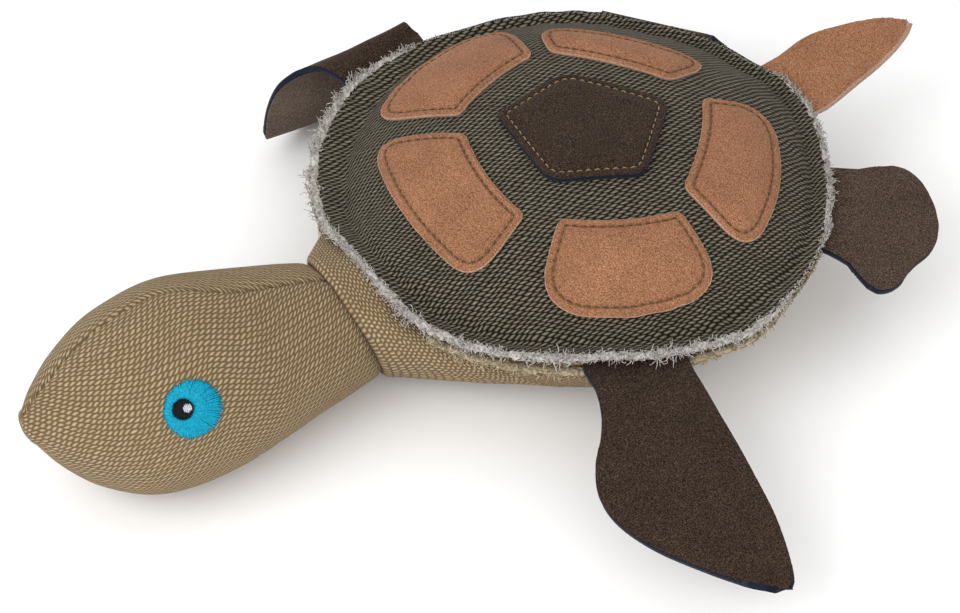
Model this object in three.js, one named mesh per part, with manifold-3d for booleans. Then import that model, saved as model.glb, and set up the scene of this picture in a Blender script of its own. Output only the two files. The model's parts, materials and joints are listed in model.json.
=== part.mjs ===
// A stuffed turtle toy for a dog: a domed olive canvas shell over a khaki canvas belly, with
// suede patches sewn on the shell, leather flippers and tail caught in the rim seam, and a
// stuffed canvas head that sits in a sewn collar like a ball in a socket.
// Millimetres, +Z up, head towards -Y, tail towards +Y, the turtle's left towards +X.
// The origin is on the floor, under the middle of the shell, on the flat of the belly.
import * as THREE from 'three';
import { mergeVertices } from 'three/addons/utils/BufferGeometryUtils.js';
import Module from 'manifold-3d';

const wasm = await Module();
wasm.setup();

// Cloth, leather and the clearance between pieces that lie on each other
const CLOTH = 1.2;
const LEATHER = 2.5;
const SUEDE = 2.2;
const GAP = 0.3;

// The body's two covers, sewn together in a flat rim
const RIM_HEIGHT = 45;
const RIM_HALF_WIDTH = 93;
const RIM_HALF_LENGTH = 92;
const SEAM_INSET = 7;
const DOME_FOOT = 2;
const DOME_RISE = 23.5;
const DOME_FULLNESS = 2.9;
const BELLY_FULLNESS = 2.3;
const FLAT_DEPTH = 0.5;
const SEAM_THREAD = 0.9;

// The frayed edges of the two covers
const FRINGE_WIDTH = 4.4;
const FRINGE_INSET = 1;

// Where the neck lifts the shell's rim
const NECK_LIFT = 8;
const NECK_LIFT_HALF_WIDTH = 24;
const NECK_LIFT_START = 68;
const NECK_LIFT_FULL = 88;

// The suede patches on the dome
const PENTAGON_MIDDLE = new THREE.Vector2(0, 2.6);
const PENTAGON_CORNERS = [[33.3, 83.4], [30.3, 164], [30.1, 224.6], [28.6, 301.5], [30.4, 11.2]];
// The five tan patches were cut by eye, so each has its own size: its four corners, each a distance
// from the middle and degrees aside of the heading, and how far its inner and outer edges bow out
const SCUTES = [
  { name: 'front', heading: -90, inner: [[44.3, 31], [42, -34]], outer: [[77, -40], [73, 26.5]], bows: [3, 7.5] },
  { name: 'left', heading: -18, inner: [[50, 30], [42, -25]], outer: [[73, -26.5], [79, 25.5]], bows: [3, 8.8] },
  { name: 'rear_left', heading: 54, inner: [[49, 29.5], [44, -31]], outer: [[76, -35.5], [73, 24]], bows: [2.5, 8] },
  { name: 'rear_right', heading: 126, inner: [[47, 36], [44, -26.5]], outer: [[67, -26], [69, 36]], bows: [1, 2.5] },
  { name: 'right', heading: 198, inner: [[46, 25], [47, -26]], outer: [[77.5, -25], [81, 23]], bows: [2, 10.2] },
];
const PATCH_CORNER = 4;
const PATCH_OUTER_CORNER = 12;
const PATCH_SIDE_BOW = 0.4;
const STITCH_INSET = 3.4;
const STITCH_THREAD = 0.5;

// The head and neck: stations along the toy, with the radius and the height of the middle
const NECK_PIVOT = new THREE.Vector3(0, -86, 25);
const NECK_BALL_RADIUS = 22.3;
const NECK_CREASE = 7;
const COLLAR_WALL = 2;
const COLLAR_BACK = -10;
const COLLAR_LIP = -0.5;
const COLLAR_ROOM_AHEAD = 40;
// The room that the neck needs to swing: how far ahead of its pivot, and how far beyond its ball
const NECK_ROOM = [
  { ahead: COLLAR_LIP, beyond: 0 },
  { ahead: 2.5, beyond: 3 },
  { ahead: 8, beyond: 8 },
  { ahead: 16, beyond: 13 },
  { ahead: 50, beyond: 20 },
];
const HEAD_STATIONS = [
  { y: -102, radius: 23.2, middle: 26.6 },
  { y: -119, radius: 27.4, middle: 29.0 },
  { y: -139, radius: 31.6, middle: 32.2 },
  { y: -155, radius: 34.6, middle: 35.0 },
  { y: -165, radius: 35.4, middle: 36.0 },
  { y: -174, radius: 35.0, middle: 36.4 },
  { y: -182, radius: 33.8, middle: 36.8 },
  { y: -190, radius: 31.6, middle: 37.0 },
  { y: -199, radius: 27.6, middle: 37.6 },
  { y: -208, radius: 21.6, middle: 39.0 },
  { y: -215, radius: 15.4, middle: 41.0 },
  { y: -221, radius: 9.4, middle: 44.2 },
  { y: -226, radius: 4.2, middle: 47.0 },
];
const NOSE = { y: -228.5, middle: 48.4 };
const HEAD_TWIST = 17;
const HEAD_TWIST_START = -138;
const HEAD_TWIST_FULL = -172;

// The embroidered eyes
const EYE_Y = -177.2;
const EYE_ANGLE = 17.4;
const IRIS_RADIUS = 10.3;
const PUPIL_RADIUS = 3.7;
const PUPIL_FORWARD = 3;
const HIGHLIGHT_RADIUS = 1.6;
const HIGHLIGHT_FORWARD = 1.6;
const EMBROIDERY = 1;
// The round tool that cuts an eye out of a layer over the head: its length and its middle
const EYE_TOOL = { length: 40, out: 30 };

// The flippers and the tail, each a flap of leather that bends along a line just past the fringe
const HINGE_MARGIN = 2.6;
const TAB_LENGTH = 9;
const FRONT_ROOT_ANGLE = -20.5;
const FRONT_LEFT_DIRECTION = -28;
const FRONT_RIGHT_ROOT_ANGLE = 197;
const FRONT_ROOT_WIDTH = 36;
const REAR_ROOT_ANGLE = 51;
const REAR_ROOT_WIDTH = 40;
const TAIL_ROOT_WIDTH = 32;
const TAIL_OFFSET = -2.5;

// The front flipper cut flat: distance out from the hinge, with the leading and trailing edges
const FRONT_OUTLINE = [
  { out: 0, lead: -15.4, trail: 21.5 },
  { out: 10, lead: -14.8, trail: 25.5 },
  { out: 20, lead: -15.7, trail: 29.6 },
  { out: 31, lead: -18.4, trail: 33.9 },
  { out: 43, lead: -18.3, trail: 38.2 },
  { out: 54, lead: -13.2, trail: 42.0 },
  { out: 64, lead: -2.2, trail: 44.6 },
  { out: 73, lead: 14.3, trail: 46.0 },
  { out: 79, lead: 28.0, trail: 46.2 },
  { out: 82, lead: 38.6, trail: 44.4 },
];
// The rear flipper cut flat: points of its outer edge from the tail side to the head side
const REAR_EDGE = [
  { out: 15, across: -31.4 },
  { out: 23, across: -26.5 },
  { out: 29, across: -16 },
  { out: 31.5, across: -2 },
  { out: 29.5, across: 8 },
  { out: 23.5, across: 17 },
  { out: 19, across: 27 },
  { out: 10, across: 33.4 },
];
const TAIL_OUTLINE = [
  { out: 0, lead: -16.3, trail: 16.3 },
  { out: 12, lead: -17.6, trail: 14.6 },
  { out: 24, lead: -14.4, trail: 11.6 },
  { out: 36, lead: -8.6, trail: 8.2 },
  { out: 44, lead: -3.4, trail: 5.2 },
  { out: 48, lead: 0.2, trail: 2.6 },
];
// How each flap bends: the heading of the leather at some distances out, degrees above level
const FRONT_LEFT_BEND = [[0, -6], [40, -12], [82, -20]];
const FRONT_RIGHT_BEND = [[0, 28], [5, 34], [12, -50], [22, -73], [34, -118], [46, -56], [58, -32], [68, 0]];
const REAR_LEFT_BEND = [[0, -10], [32, -18]];
const REAR_RIGHT_BEND = [[0, -45], [10, -58], [32, -58]];
// A flap's cut can be swept aside of its hinge, and its bends can lie along lines turned from it
const STRAIGHT_FOLD = { turn: 0, sweep: 0 };
const FRONT_RIGHT_FOLD = { turn: -22, sweep: 35 };
const FOLD_EASE = 20;
const TAIL_BEND = [[0, 10], [24, 12], [48, 2]];

// The squeaker in its pocket in the body's filling
const SQUEAKER_RADIUS = 21;
const SQUEAKER_HEIGHT = 20;
const SQUEAKER_WALL = 1;
const SQUEAKER_ROUNDING = 6;
const SQUEAKER_HEIGHT_OFF_FLOOR = 24;
const REED_RADIUS = 4;
const REED_LENGTH = 5;
const REED_STANDS_OUT = 1;

// Facets
const RIM_FACETS = 48;
const FILLING_FACETS = 24;
const HEAD_FACETS = 24;
const STITCH_FACETS = 30;
const BOW_STEPS = 8;

const colours = {
  olive: 0x4a4a3a, khaki: 0x9a8a6a, fringe: 0xbdb6ac, under_fringe: 0xa89878, tan: 0xbd7d55,
  brown: 0x3e3028, tan_thread: 0xa98c60, brown_thread: 0x8c5f37, cyan: 0x1eaac8, navy: 0x14182a,
  white: 0xc8cdd7, fill: 0xe8e6e0, plastic: 0xd8d8d0,
};
const finish = (color, roughness) => new THREE.MeshStandardMaterial({ color, roughness, metalness: 0 });
const materials = {
  olive: finish(colours.olive, 0.9),
  khaki: finish(colours.khaki, 0.9),
  fringe: finish(colours.fringe, 0.95),
  underFringe: finish(colours.under_fringe, 0.95),
  tan: finish(colours.tan, 0.85),
  brown: finish(colours.brown, 0.85),
  tanThread: finish(colours.tan_thread, 0.6),
  brownThread: finish(colours.brown_thread, 0.6),
  cyan: finish(colours.cyan, 0.45),
  navy: finish(colours.navy, 0.45),
  white: finish(colours.white, 0.45),
  fill: finish(colours.fill, 1),
  plastic: finish(colours.plastic, 0.4),
};

const toy = new THREE.Group();

// Small tools for meshes

// A closed mesh with shared vertices and outward faces, as a solid that can be cut and joined
function solid(geometry) {
  const bare = new THREE.BufferGeometry();
  bare.setAttribute('position', geometry.getAttribute('position').clone());
  bare.setIndex(geometry.getIndex() ? geometry.getIndex().clone() : null);
  const merged = mergeVertices(bare, 1e-3);
  const vertProperties = new Float32Array(merged.getAttribute('position').array);
  const corners = merged.getIndex().array;
  const triangles = [];
  let volume = 0;
  for (let i = 0; i < corners.length; i += 3) {
    const [a, b, c] = [corners[i], corners[i + 1], corners[i + 2]];
    if (a === b || b === c || c === a) continue;
    triangles.push([a, b, c]);
    const [p, q, r] = [a, b, c].map((k) => new THREE.Vector3().fromArray(vertProperties, 3 * k));
    volume += p.dot(q.cross(r));
  }
  const facing = volume > 0 ? triangles : triangles.map(([a, b, c]) => [a, c, b]);
  const triVerts = new Uint32Array(facing.flat());
  return new wasm.Manifold(new wasm.Mesh({ numProp: 3, vertProperties, triVerts }));
}

function geometryOf(manifold) {
  const { vertProperties, triVerts, numProp } = manifold.getMesh();
  const positions = new Float32Array((vertProperties.length / numProp) * 3);
  for (let i = 0; i < positions.length / 3; i += 1) {
    positions.set(vertProperties.subarray(i * numProp, i * numProp + 3), i * 3);
  }
  const geometry = new THREE.BufferGeometry();
  geometry.setAttribute('position', new THREE.BufferAttribute(positions, 3));
  geometry.setIndex(new THREE.BufferAttribute(new Uint32Array(triVerts), 1));
  return geometry;
}

// Moves each vertex of a geometry to where place puts it
function reshape(geometry, place) {
  const positions = geometry.getAttribute('position');
  const point = new THREE.Vector3();
  for (let i = 0; i < positions.count; i += 1) {
    point.fromBufferAttribute(positions, i);
    place(point);
    positions.setXYZ(i, point.x, point.y, point.z);
  }
  return geometry;
}

function addPiece(name, shape, material, parent = toy) {
  const manifold = shape.isBufferGeometry ? solid(shape) : shape;
  const geometry = geometryOf(manifold);
  geometry.computeVertexNormals();
  const mesh = new THREE.Mesh(geometry, material);
  mesh.name = name;
  parent.add(mesh);
  return mesh;
}

// A solid of revolution about +Z from a profile of [radius, height], closed on itself or on the axis
function turned(profile, facets = RIM_FACETS) {
  const points = profile.map(([radius, height]) => new THREE.Vector2(Math.max(radius, 0), height));
  if (points[0].x > 0) points.push(points[0].clone());
  return new THREE.LatheGeometry(points, facets).rotateX(Math.PI / 2);
}

function ball(radius, centre, facets = HEAD_FACETS) {
  const sphere = new THREE.SphereGeometry(radius, facets, facets / 2);
  return sphere.translate(centre.x, centre.y, centre.z);
}

// A smooth function through a table of [position, value]
function smooth(table) {
  const rows = [...table].sort((a, b) => a[0] - b[0]);
  const at = rows.map((row) => row[0]);
  const curve = new THREE.CubicInterpolant(at, rows.map((row) => row[1]), 1, new Float64Array(1));
  return (x) => curve.evaluate(THREE.MathUtils.clamp(x, at[0], at[at.length - 1]))[0];
}

const radians = THREE.MathUtils.degToRad;
const steps = (count) => Array.from({ length: count + 1 }, (_, i) => i / count);

// The shape of the shell and the belly

const seamRadius = RIM_HALF_WIDTH - SEAM_INSET;
const flapTop = RIM_HEIGHT - CLOTH - GAP;
const flapBottom = flapTop - LEATHER;
const bellyTop = flapBottom - GAP;
const bellyUnder = bellyTop - CLOTH;

// Height of the dome's upper face at a share of the way from the crown to the rim seam
function domeHeight(share) {
  const fall = 1 - Math.min(share, 1) ** DOME_FULLNESS;
  return RIM_HEIGHT + DOME_FOOT + DOME_RISE * fall;
}

// Height of the belly's outer face, which would be round below the flat it is cut to
function bellyHeight(share) {
  const fall = 1 - Math.min(share, 1) ** BELLY_FULLNESS;
  return bellyUnder - (bellyUnder + FLAT_DEPTH) * fall ** (1 / BELLY_FULLNESS);
}

const domeShares = [0, 0.2, 0.38, 0.54, 0.68, 0.8, 0.89, 0.96, 1];
const flatFall = (bellyUnder / (bellyUnder + FLAT_DEPTH)) ** BELLY_FULLNESS;
const flatShare = (1 - flatFall) ** (1 / BELLY_FULLNESS);
const bellyShares = [1, 0.975, 0.93, 0.86, 0.76, 0.62, 0.46, 0.32, flatShare, 0];

// The rim is a little shorter than it is wide
function toRimShape(point) {
  point.y *= RIM_HALF_LENGTH / RIM_HALF_WIDTH;
}

// The neck lifts the shell's rim in front
function liftOverNeck(point) {
  const across = Math.exp(-((point.x / NECK_LIFT_HALF_WIDTH) ** 2));
  const along = THREE.MathUtils.smoothstep(-point.y, NECK_LIFT_START, NECK_LIFT_FULL);
  point.z += NECK_LIFT * across * along;
}

function toShellShape(point) {
  toRimShape(point);
  liftOverNeck(point);
}

// A solid block under the dome's upper face, raised by an offset
function domeBlock(raise) {
  const top = domeShares.map((share) => [share * seamRadius, domeHeight(share) + raise]);
  return solid(reshape(turned([...top, [seamRadius, 0], [0, 0]]), toShellShape));
}

// The neck's ball in its collar, and the room that the neck needs to swing

// A socket whose facets lie outside a ball's, however the ball is turned
const socketFor = (ballRadius) => (ballRadius + GAP) / Math.cos(Math.PI / HEAD_FACETS) ** 2;
const socketRadius = socketFor(NECK_BALL_RADIUS);
const neckFillingRadius = NECK_BALL_RADIUS - CLOTH - GAP;

const neckStations = (() => {
  const back = steps(8).map((share) => {
    const turn = share * (Math.PI / 2 + Math.asin(NECK_CREASE / NECK_BALL_RADIUS));
    return {
      y: NECK_PIVOT.y + NECK_BALL_RADIUS * Math.cos(turn),
      radius: NECK_BALL_RADIUS * Math.sin(turn),
      middle: NECK_PIVOT.z,
    };
  });
  return [...back, ...HEAD_STATIONS, { ...NOSE, radius: 0 }];
})();

const headMiddle = smooth(
  [NECK_PIVOT, ...neckStations.filter((s) => s.y < NECK_PIVOT.y)].map((s) => [s.y, s.middle ?? s.z]),
);

// The head's surface, turned straight along the toy, grown outwards by an offset
function headBlank(offset) {
  const profile = neckStations.map(({ y, radius }, i) => {
    const end = i === 0 ? offset : i === neckStations.length - 1 ? -offset : 0;
    const grown = i === 0 || i === neckStations.length - 1 ? 0 : radius + offset;
    return new THREE.Vector2(Math.max(grown, 0), y + end);
  });
  return new THREE.LatheGeometry(profile, HEAD_FACETS, Math.PI / HEAD_FACETS);
}

// From the straight blank, whose axis is Y, to the bent neck and the slightly twisted head
function toHeadShape(point) {
  const full = THREE.MathUtils.smoothstep(-point.y, -HEAD_TWIST_START, -HEAD_TWIST_FULL);
  const turn = radians(HEAD_TWIST) * full;
  const { x, z } = point;
  point.x = x * Math.cos(turn) - z * Math.sin(turn);
  point.z = x * Math.sin(turn) + z * Math.cos(turn) + headMiddle(point.y);
}

// A cone round the neck: its wall stays clear of the neck at every limit of the swing
function neckRoom() {
  const wall = NECK_ROOM.map(({ ahead, beyond }) => [socketRadius + beyond, ahead]);
  const near = [0, NECK_ROOM[0].ahead];
  const far = [0, NECK_ROOM[NECK_ROOM.length - 1].ahead];
  const cone = turned([near, ...wall, far], HEAD_FACETS).rotateX(Math.PI / 2);
  cone.translate(NECK_PIVOT.x, NECK_PIVOT.y, NECK_PIVOT.z);
  return solid(cone).add(solid(ball(socketRadius, NECK_PIVOT)));
}

const collarRadius = NECK_BALL_RADIUS + GAP + COLLAR_WALL;

// A solid cylinder round the neck's pivot, between two distances ahead of it
function roundBand(radius, from, to) {
  const band = turned([[0, from], [radius, from], [radius, to], [0, to]], HEAD_FACETS);
  band.rotateX(Math.PI / 2).translate(NECK_PIVOT.x, NECK_PIVOT.y, NECK_PIVOT.z);
  return solid(band);
}

// The collar with its clearance, and the way out in front of it
function collarRoom() {
  return roundBand(collarRadius + GAP, COLLAR_BACK - GAP, COLLAR_ROOM_AHEAD);
}

// The body

function shellCover() {
  const top = domeShares.map((share) => [share * seamRadius, domeHeight(share)]);
  const under = [...domeShares].reverse().map((share) => [share * seamRadius, domeHeight(share) - CLOTH]);
  const groove = [[seamRadius + GAP, RIM_HEIGHT], [RIM_HALF_WIDTH, RIM_HEIGHT]];
  const edge = [[RIM_HALF_WIDTH, RIM_HEIGHT - CLOTH], [seamRadius - CLOTH, RIM_HEIGHT - CLOTH]];
  return reshape(turned([...top, ...groove, ...edge, ...under.slice(1)]), toShellShape);
}

function bellyBlank(inset) {
  return bellyShares.map((share) => [
    Math.max(share * seamRadius - inset, 0),
    Math.max(bellyHeight(share), 0) + inset,
  ]);
}

function bellyCover() {
  const wall = bellyBlank(0);
  const inside = bellyBlank(CLOTH).reverse();
  const flange = [[RIM_HALF_WIDTH - FRINGE_INSET, bellyTop], [RIM_HALF_WIDTH - FRINGE_INSET, bellyUnder]];
  const cover = solid(reshape(turned([...flange, ...wall, ...inside]), toRimShape));
  return cover.subtract(neckRoom()).subtract(collarRoom());
}

// The band of canvas, sewn into the belly's opening, that holds the neck's ball
function neckCollar() {
  return roundBand(collarRadius, COLLAR_BACK, COLLAR_LIP).subtract(neckRoom());
}

function bodyFilling() {
  const inset = CLOTH + GAP;
  const roof = [...domeShares].reverse().map((share) => [
    Math.max(share * seamRadius - inset, 0),
    domeHeight(share) - inset - (share === 1 ? DOME_FOOT : 0),
  ]);
  const outline = [...bellyBlank(inset).reverse(), ...roof];
  const stuffing = solid(reshape(turned(outline, FILLING_FACETS), toRimShape));
  const pocket = new THREE.CylinderGeometry(
    SQUEAKER_RADIUS + GAP, SQUEAKER_RADIUS + GAP, RIM_HEIGHT + DOME_RISE, HEAD_FACETS,
  );
  pocket.rotateX(Math.PI / 2).translate(0, 0, SQUEAKER_HEIGHT_OFF_FLOOR + (RIM_HEIGHT + DOME_RISE) / 2);
  return stuffing.subtract(neckRoom()).subtract(collarRoom()).subtract(solid(pocket));
}

// A flat band that follows the rim: a torus re-placed vertex by vertex
function rimBand(middleRadius, halfWidth, halfHeight, height, sides, facets) {
  const ring = new THREE.TorusGeometry(middleRadius, halfWidth, sides, facets);
  return reshape(ring, (point) => {
    point.z = height + (point.z / halfWidth) * halfHeight;
  });
}

function squeaker() {
  const half = SQUEAKER_HEIGHT / 2;
  const bulge = steps(6).map((share) => {
    const turn = (share - 0.5) * Math.PI;
    return [SQUEAKER_RADIUS - SQUEAKER_ROUNDING * (1 - Math.cos(turn)), half * Math.sin(turn)];
  });
  const hole = REED_RADIUS + GAP;
  const inner = [...bulge].reverse().map(([r, z]) => [r - SQUEAKER_WALL, z * (1 - SQUEAKER_WALL / half)]);
  const outline = [[0, -half], ...bulge, [hole, half], [hole, half - SQUEAKER_WALL], ...inner,
    [0, -half + SQUEAKER_WALL]];
  return turned(outline, HEAD_FACETS).translate(0, 0, SQUEAKER_HEIGHT_OFF_FLOOR + GAP + half);
}

// Patches

// Outline of a patch, seen from above: bowed sides between its corners, each corner cut round
function roundedOutline(corners, roundings, bows, samples) {
  const count = corners.length;
  const sides = corners.map((corner, i) => {
    const next = corners[(i + 1) % count];
    const across = next.clone().sub(corner);
    const bow = new THREE.Vector2(across.y, -across.x).normalize().multiplyScalar(2 * bows[i]);
    return new THREE.QuadraticBezierCurve(corner, corner.clone().add(next).multiplyScalar(0.5).add(bow), next);
  });
  const shape = new THREE.Shape();
  sides.forEach((side, i) => {
    const before = sides[(i + count - 1) % count];
    const start = before.getPointAt(1 - roundings[i] / before.getLength());
    const from = roundings[i] / side.getLength();
    const to = 1 - roundings[(i + 1) % count] / side.getLength();
    const leave = side.getPointAt(from);
    if (i === 0) shape.moveTo(start.x, start.y);
    shape.quadraticCurveTo(corners[i].x, corners[i].y, leave.x, leave.y);
    for (const share of steps(BOW_STEPS).slice(1)) {
      const point = side.getPointAt(THREE.MathUtils.lerp(from, to, share));
      shape.lineTo(point.x, point.y);
    }
  });
  return shape.getSpacedPoints(samples).slice(0, samples);
}

const polar = (radius, degrees) => new THREE.Vector2(
  radius * Math.cos(radians(degrees)), radius * Math.sin(radians(degrees)),
);

function pentagonOutline(samples) {
  const corners = PENTAGON_CORNERS.map(([radius, degrees]) => polar(radius, degrees).add(PENTAGON_MIDDLE));
  return roundedOutline(corners, corners.map(() => PATCH_CORNER), corners.map(() => PATCH_SIDE_BOW), samples);
}

function scuteOutline({ heading, inner, outer, bows }, samples) {
  const corners = [...inner, ...outer].map(([radius, aside]) => polar(radius, heading + aside));
  const roundings = [PATCH_CORNER, PATCH_CORNER, PATCH_OUTER_CORNER, PATCH_OUTER_CORNER];
  return roundedOutline(corners, roundings, [-bows[0], PATCH_SIDE_BOW, bows[1], PATCH_SIDE_BOW], samples);
}

function patch(outline) {
  const height = RIM_HEIGHT + DOME_FOOT + DOME_RISE + 2 * SUEDE;
  const prism = new THREE.ExtrudeGeometry(new THREE.Shape(outline), { depth: height, bevelEnabled: false });
  return domeBlock(GAP + SUEDE).subtract(domeBlock(GAP)).intersect(solid(prism));
}

// Height of the smooth dome over a point, a little above the facets there
function domeTopAt(x, y) {
  const share = Math.hypot(x, (y * RIM_HALF_WIDTH) / RIM_HALF_LENGTH) / seamRadius;
  const point = new THREE.Vector3(x, y, domeHeight(share));
  liftOverNeck(point);
  return point.z;
}

// The row of stitches round a patch, as one closed loop of thread
function stitching(outline) {
  const closed = new THREE.CatmullRomCurve3(outline.map((p) => new THREE.Vector3(p.x, p.y, 0)), true);
  const ring = new THREE.TorusGeometry(1, 0.5, 4, STITCH_FACETS);
  return reshape(ring, (point) => {
    const turn = Math.atan2(point.y, point.x) / (2 * Math.PI);
    const aside = (Math.hypot(point.x, point.y) - 1) * 2;
    const raise = point.z * 2;
    const along = ((turn % 1) + 1) % 1;
    const at = closed.getPoint(along);
    const tangent = closed.getTangent(along);
    const inward = new THREE.Vector3(-tangent.y, tangent.x, 0);
    at.addScaledVector(inward, STITCH_INSET + aside * STITCH_THREAD);
    point.set(at.x, at.y, domeTopAt(at.x, at.y) + 2 * GAP + SUEDE + STITCH_THREAD * (1 + raise));
  });
}

// Flaps of leather

// Where the middle of the leather lies at a distance out from the hinge, and its heading there
function bendOf(table) {
  const heading = smooth(table);
  const reach = Math.max(...table.map((row) => row[0]));
  const samples = 96;
  const places = [{ x: 0, z: 0 }];
  for (let i = 0; i < samples; i += 1) {
    const turn = radians(heading(((i + 0.5) * reach) / samples));
    const last = places[i];
    places.push({ x: last.x + (reach / samples) * Math.cos(turn), z: last.z + (reach / samples) * Math.sin(turn) });
  }
  return (out) => {
    const at = THREE.MathUtils.clamp((out / reach) * samples, 0, samples - 1e-6);
    const i = Math.floor(at);
    const turn = radians(heading(out));
    return {
      x: THREE.MathUtils.lerp(places[i].x, places[i + 1].x, at - i),
      z: THREE.MathUtils.lerp(places[i].z, places[i + 1].z, at - i),
      turn,
    };
  };
}

// A flap: a flat sheet of leather, cut by the function cut, then bent; its root is half round
function flap(cut, bend, fold, outCells, acrossCells) {
  const sheet = new THREE.BoxGeometry(1, 1, 1, outCells, acrossCells, 2).translate(0.5, 0, 0);
  const [foldTurn, sweep] = [radians(fold.turn), radians(fold.sweep)];
  return reshape(sheet, (point) => {
    const flat = cut(point.x, point.y + 0.5);
    const out = flat.out * Math.cos(sweep);
    const across = flat.across + flat.out * Math.sin(sweep);
    const lift = point.z * LEATHER;
    const round = point.x < 1e-6 ? Math.sqrt(0.25 - Math.min(point.z ** 2, 0.25)) * LEATHER : 0;
    const { x, z, turn } = bend(out);
    const ahead = x - Math.sin(turn) * lift - Math.cos(turn) * round;
    const eased = THREE.MathUtils.smoothstep(out, 0, FOLD_EASE);
    point.set(
      ahead * Math.cos(foldTurn) - across * Math.sin(foldTurn) * eased,
      ahead * Math.sin(foldTurn) + across * Math.cos(foldTurn),
      z + Math.cos(turn) * lift - Math.sin(turn) * round,
    );
  });
}

function cutBetweenEdges(outline, side) {
  const lead = smooth(outline.map((row) => [row.out, row.lead]));
  const trail = smooth(outline.map((row) => [row.out, row.trail]));
  const reach = outline[outline.length - 1].out;
  return (along, across) => {
    const out = reach * (1 - (1 - along) ** 1.25);
    return { out, across: side * THREE.MathUtils.lerp(lead(out), trail(out), across) };
  };
}

function cutFan(edge, rootWidth, side) {
  const outAt = smooth(edge.map((row, i) => [i / (edge.length - 1), row.out]));
  const acrossAt = smooth(edge.map((row, i) => [i / (edge.length - 1), row.across]));
  return (along, across) => {
    const root = (across - 0.5) * rootWidth;
    const flare = along ** 0.8;
    return {
      out: along * outAt(across),
      across: side * THREE.MathUtils.lerp(root, acrossAt(across), flare),
    };
  };
}

// Puts a flap and its sewn-in root at the rim; the group's +X points out along the flap
function addFlap(flapShape) {
  const { name, rootAngle, offset = 0, direction, width, cut, bend, cells, material } = flapShape;
  const { fold = STRAIGHT_FOLD } = flapShape;
  const edge = RIM_HALF_WIDTH + GAP + FRINGE_WIDTH + HINGE_MARGIN;
  const place = new THREE.Group();
  const out = polar(edge, rootAngle);
  const aside = polar(offset, rootAngle - 90);
  place.position.set(out.x + aside.x, (out.y * RIM_HALF_LENGTH) / RIM_HALF_WIDTH + aside.y, flapTop - LEATHER / 2);
  place.rotation.z = radians(direction);
  toy.add(place);
  addPiece(name, flap(cut, bendOf(bend), fold, cells[0], cells[1]), material, place);
  const tab = new THREE.BoxGeometry(TAB_LENGTH, width, LEATHER);
  tab.translate(-LEATHER / 2 - GAP - TAB_LENGTH / 2, 0, 0);
  addPiece(`${name}_root`, tab, material, place);
}

// Assembly

addPiece('shell_cover', shellCover(), materials.olive);
addPiece('belly_cover', bellyCover(), materials.khaki);
addPiece('neck_collar', neckCollar(), materials.khaki);
addPiece('body_filling', bodyFilling(), materials.fill);

const fringeMiddle = RIM_HALF_WIDTH + GAP + FRINGE_WIDTH / 2;
const shellFringe = rimBand(fringeMiddle, FRINGE_WIDTH / 2, CLOTH / 2, RIM_HEIGHT - CLOTH / 2, 6, RIM_FACETS);
addPiece('shell_fringe', reshape(shellFringe, toShellShape), materials.fringe);
const bellyFringe = rimBand(
  fringeMiddle - FRINGE_INSET, FRINGE_WIDTH / 2, CLOTH / 2, bellyTop - CLOTH / 2, 6, RIM_FACETS,
);
addPiece('belly_fringe', solid(reshape(bellyFringe, toRimShape)).subtract(neckRoom()), materials.underFringe);
const seamThread = rimBand(seamRadius + SEAM_THREAD, SEAM_THREAD, SEAM_THREAD, flapTop - LEATHER / 2, 5, RIM_FACETS);
const openThread = solid(reshape(seamThread, toRimShape)).subtract(collarRoom());
addPiece('rim_seam_thread', openThread, materials.tanThread);

addPiece('squeaker_bladder', squeaker(), materials.plastic);
const reed = new THREE.CylinderGeometry(REED_RADIUS, REED_RADIUS, REED_LENGTH, HEAD_FACETS / 2).rotateX(Math.PI / 2);
reed.translate(0, 0, SQUEAKER_HEIGHT_OFF_FLOOR + GAP + SQUEAKER_HEIGHT - REED_LENGTH / 2 + REED_STANDS_OUT);
addPiece('squeaker_reed', reed, materials.plastic);

const patchSamples = 26;
addPiece('centre_patch', patch(pentagonOutline(patchSamples)), materials.brown);
addPiece('centre_patch_stitching', stitching(pentagonOutline(STITCH_FACETS)), materials.tanThread);
for (const scute of SCUTES) {
  addPiece(`${scute.name}_scute`, patch(scuteOutline(scute, patchSamples)), materials.tan);
  addPiece(`${scute.name}_scute_stitching`, stitching(scuteOutline(scute, STITCH_FACETS)), materials.brownThread);
}

// The head: two cloth panels that meet in a seam over the top and under the chin
const skin = solid(headBlank(0)).subtract(solid(headBlank(-CLOTH)));
const blockSize = 2 * (NECK_PIVOT.y + NECK_BALL_RADIUS - NOSE.y);
const block = new THREE.BoxGeometry(blockSize, blockSize, blockSize);
for (const [name, side] of [['head_left_panel', 1], ['head_right_panel', -1]]) {
  const keep = block.clone().translate((side * (blockSize + GAP)) / 2, EYE_Y, 0);
  addPiece(name, reshape(geometryOf(skin.intersect(solid(keep))), toHeadShape), materials.khaki);
}
addPiece('neck_filling', ball(neckFillingRadius, NECK_PIVOT), materials.fill);
const behindNeck = block.clone().translate(0, NECK_PIVOT.y - NECK_CREASE + CLOTH + blockSize / 2, 0);
const headStuffing = solid(headBlank(-CLOTH - GAP)).subtract(solid(behindNeck));
const neckBallRoom = solid(ball(socketFor(neckFillingRadius), NECK_PIVOT));
const headFilling = solid(reshape(geometryOf(headStuffing), toHeadShape)).subtract(neckBallRoom);
addPiece('head_filling', headFilling, materials.fill);

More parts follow.
